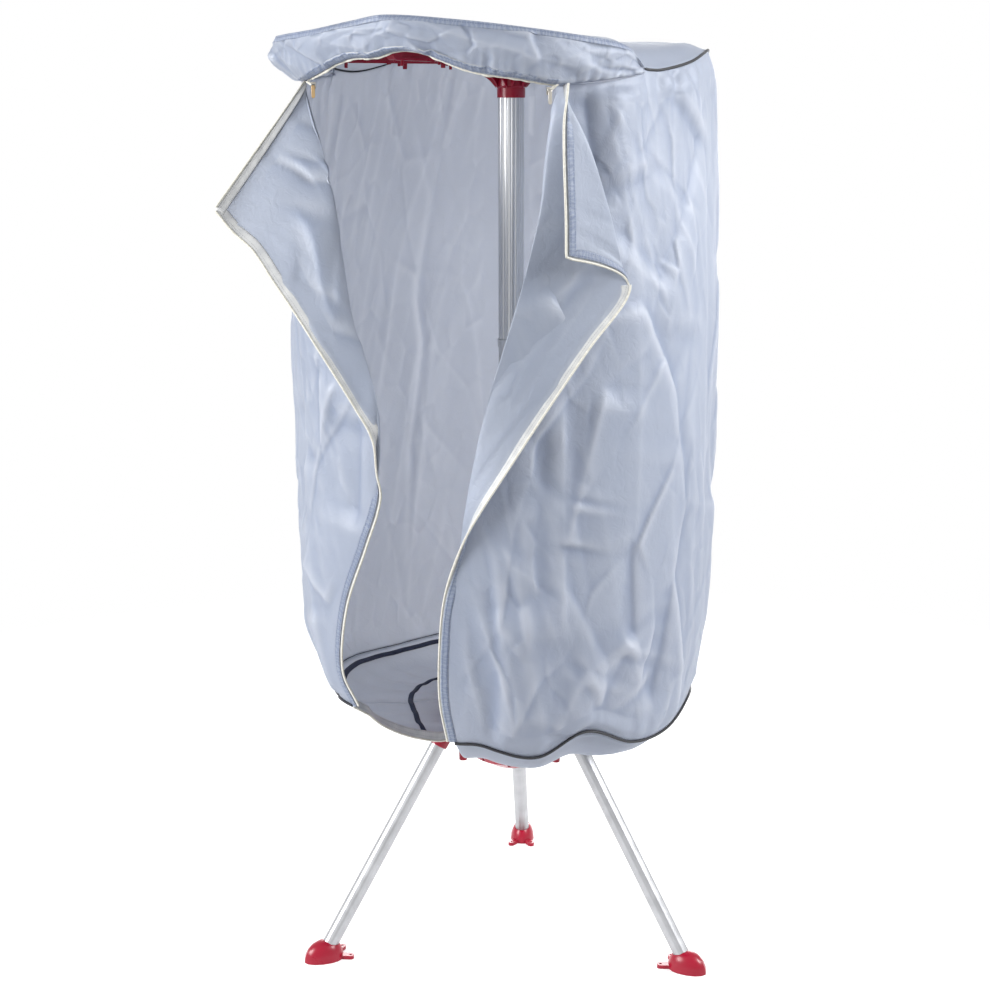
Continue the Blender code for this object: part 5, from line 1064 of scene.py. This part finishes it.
slit_along = tangents(slit_line)
slit_out = unit(slit_line - floor_points[:, -6]) + np.array([0, 0, -1.3])
slit_out = smoothed(beside(slit_out, slit_along), 6)
slit_up = np.cross(slit_along, slit_out)
slit_up = slit_up * np.sign(dot(slit_up, np.array([0.3, -0.6, 0.7])))
edge_tape("zip_tape_slit", slit_line, slit_out, slit_up, hem=False)

top_rows = (left_points[row, WALL_COLUMNS - 1 :][::-1] for row in (-1, -2))
edge_tape("zip_tape_lapel_top", *line_and_side(*top_rows))

open_lid = (lid_azimuths >= OPEN_LID[0]) & (lid_azimuths <= OPEN_LID[1])
lid_edge_line = lid_points[0][open_lid]
lid_out = unit(lid_points[0] - lid_points[1])[open_lid]
lid_side = unit(np.cross(tangents(lid_edge_line), lid_out))
edge_tape("zip_tape_lid_sewn", lid_edge_line, lid_out, lid_side, "zip_tape_lid", coil_radius=LID_COIL_RADIUS)


def zip_end(side, tape_end):
    """The last stretch of a zip, from the end of the lid's tape to its slider."""
    low, high = (np.array(corner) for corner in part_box(f"zip_slider_{side}"))
    chain = tape_end + ((low + high) / 2 - OFF - tape_end) * np.linspace(0, 0.92, 8)[:, None]
    dress(tube_object(f"zip_end_{side}", chain, LID_COIL_RADIUS), COIL)


zip_end("left", lid_edge_line[0])
zip_end("right", lid_edge_line[-1])

# Piping in the top seam and the bottom seam


def piping(name, line, node_name):
    made = dress(tube_object(name, line, PIPING_RADIUS), PIPING)
    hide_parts(node_name)


seam_azimuths = np.linspace(LID_RANGE[1] + 1, LID_RANGE[0] + 359, SEAM_POINTS)
piping("top_piping", cover_points(seam_azimuths, *rim(seam_azimuths)), "piping_top")
outwards = unit(floor_edge * LEVEL)
piping("bottom_piping", floor_edge + outwards * 0.0016 - np.array([0, 0, 0.0015]), "piping_bottom")

# Navy binding over the seams inside: the floor's edge, and the floor's own seam to the hub


def binding(name, line, width, up):
    """A strip of binding tape along a line, on the side that up points to."""
    widths = np.linspace(-0.5, 0.5, 6) * width
    bowed = (1 - (widths / width * 2) ** 2) * 0.0014 + 0.0012
    across = unit(np.cross(tangents(line), up))
    strip(name, line, across, widths, up, bowed[None], widths, 0.0009, BINDING)


seam_row = floor_points[-3, 4:-4]
seam_up = unit(np.array([0, 0, 1.0]) - unit(seam_row * LEVEL) * 0.6)
binding("floor_seam_binding", seam_row + np.array([0, 0, 0.002]), 0.009, seam_up)
ring_row = averaged(floor_points[12, 2:-2], 60)
binding("floor_ring_binding", ring_row, 0.008, np.broadcast_to(np.array([0, 0, 1.0]), ring_row.shape))

# Hard pieces keep the CAD's shape and take their finishes. The first row whose word is in the name holds.

FINISHES = (
    (("_pin",), STEEL),
    (("hub_spider", "_knuckle", "_foot", "top_hub", "arm_", "heater_", "top_cap"), PLASTIC),
    (("_tube",), LEG_SATIN),
    (("pole_",), ALUMINIUM),
    (("timer_knob", "cable_gland", "inlet_grille", "fan_impeller", "terminal_block"), CHARCOAL),
    (("zip_slider", "zip_puller_right"), NICKEL),
    (("zip_puller_left",), BRASS),
    (("ptc_element",), CERAMIC),
    (("bracket", "motor", "frame", "cutout", "timer"), STEEL),
)
SOFTENED = ("_foot", "_hub", "_knuckle", "arm_", "top_cap", "heater_", "slider", "puller")
FINE = ("arm_", "zip")


def joined_faces():
    """A modifier's node group: faces share their corners and are smooth, without the file's own normals."""
    tree = bpy.data.node_groups.new("joined_faces", "GeometryNodeTree")
    for way in ("INPUT", "OUTPUT"):
        tree.interface.new_socket("Geometry", in_out=way, socket_type="NodeSocketGeometry")
    start = node(tree, "NodeGroupInput").outputs[0]
    bare = node(tree, "GeometryNodeRemoveAttribute", {"Geometry": start, "Name": "custom_normal"}).outputs[0]
    joined = node(tree, "GeometryNodeMergeByDistance", {"Geometry": bare, "Distance": 0.00002}).outputs[0]
    rounded = node(tree, "GeometryNodeSetShadeSmooth", {0: joined}).outputs[0]
    node(tree, "NodeGroupOutput", {0: rounded})
    return tree


def named_like(name, words):
    return any(word in name for word in words)


JOINED = joined_faces()
for name, part in NODES.items():
    for words, finish in FINISHES:
        if named_like(name, words):
            part.data.materials.clear()
            part.data.materials.append(finish)
            break
    if named_like(name, SOFTENED):
        part.modifiers.new("joined_faces", "NODES").node_group = JOINED
        soft = part.modifiers.new("soft_edges", "BEVEL")
        soft.width = 0.0008 if named_like(name, FINE) else 0.0012
        soft.segments = 3
        soft.limit_method = "ANGLE"
        soft.angle_limit = math.radians(34)
        soft.harden_normals = True

# Stage, light and camera

GROUND_RADIUS = 2.6
GROUND_COLOUR = (0.72, 0.72, 0.72, 1)
GROUND_GLOW = 0.45
WORLD_LEVEL = 0.30
LAMPS = (
    ("key", (-2.8, -1.3, 1.7), (0, 0, 0.95), 1.5, 128),
    ("fill", (2.4, -0.8, 2.1), (0.2, -0.1, 1.2), 1.2, 95),
    ("rear", (0.2, 2.8, 0.9), (0, 0, 0.9), 2.2, 128),
)
CAMERA_PLACE = (0, -2.6957, 1.3062)
CAMERA_TILT = 0.221
CAMERA_LENS = 65.4545
CAMERA_SHIFT = -0.01632


def white_rays(tree):
    """1 for the rays that see the white backdrop: the camera's, and those from gloss and through glass."""
    rays = node(tree, "ShaderNodeLightPath").outputs
    seen = math_node(tree, "MAXIMUM", rays["Is Camera Ray"], rays["Is Transmission Ray"])
    return math_node(tree, "MAXIMUM", seen, rays["Is Glossy Ray"])


def ground_material():
    """A pale floor that glows a little where it is seen and fades out into the white world."""
    made, tree, shader, output = material("studio_floor")
    away = node(tree, "ShaderNodeVectorMath", {0: object_place(tree)}, operation="LENGTH").outputs["Value"]
    fade = node(tree, "ShaderNodeMapRange", {0: away, 1: 0.9, 2: 2.0}).outputs[0]
    fill(tree, shader, {"Base Color": GROUND_COLOUR, "Roughness": 0.9})
    lit = node(tree, "ShaderNodeEmission", {"Strength": GROUND_GLOW})
    glow = node(tree, "ShaderNodeMixShader", {0: white_rays(tree), 2: lit.outputs[0]})
    both = node(tree, "ShaderNodeAddShader", {0: shader.outputs[0], 1: glow.outputs[0]})
    clear = node(tree, "ShaderNodeBsdfTransparent")
    mixed = node(tree, "ShaderNodeMixShader", {0: fade, 1: both.outputs[0], 2: clear.outputs[0]})
    tree.links.new(mixed.outputs[0], output.inputs[0])
    return made


bpy.ops.mesh.primitive_circle_add(
    vertices=96, radius=GROUND_RADIUS, fill_type="NGON", location=(OFF[0], OFF[1], -0.0002)
)
ground = bpy.context.object
ground.name = "ground"
ground.data.materials.append(ground_material())

world = bpy.data.worlds.new("studio")
bpy.context.scene.world = world
world.use_nodes = True
backdrop = world.node_tree.nodes["Background"]
strength = spread(world.node_tree, white_rays(world.node_tree), WORLD_LEVEL, 1.0)
fill(world.node_tree, backdrop, {"Strength": strength, "Color": (1, 1, 1, 1)})

for name, at, aim, size, power in LAMPS:
    light = bpy.data.lights.new(name, "AREA")
    light.size = size
    light.energy = power
    lamp = new_object(name, light)
    lamp.location = Vector(at) + Vector(OFF)
    lamp.rotation_euler = (Vector(aim) - Vector(at)).to_track_quat("-Z", "Y").to_euler()

camera = bpy.data.cameras.new("photo")
camera.sensor_width = 36
camera.lens = CAMERA_LENS
camera.shift_x = CAMERA_SHIFT
viewer = new_object("photo", camera)
viewer.location = Vector(CAMERA_PLACE) + Vector(OFF)
viewer.rotation_euler = (math.pi / 2 - CAMERA_TILT, 0, 0)
bpy.context.scene.camera = viewer
bpy.context.scene.view_settings.view_transform = "Standard"
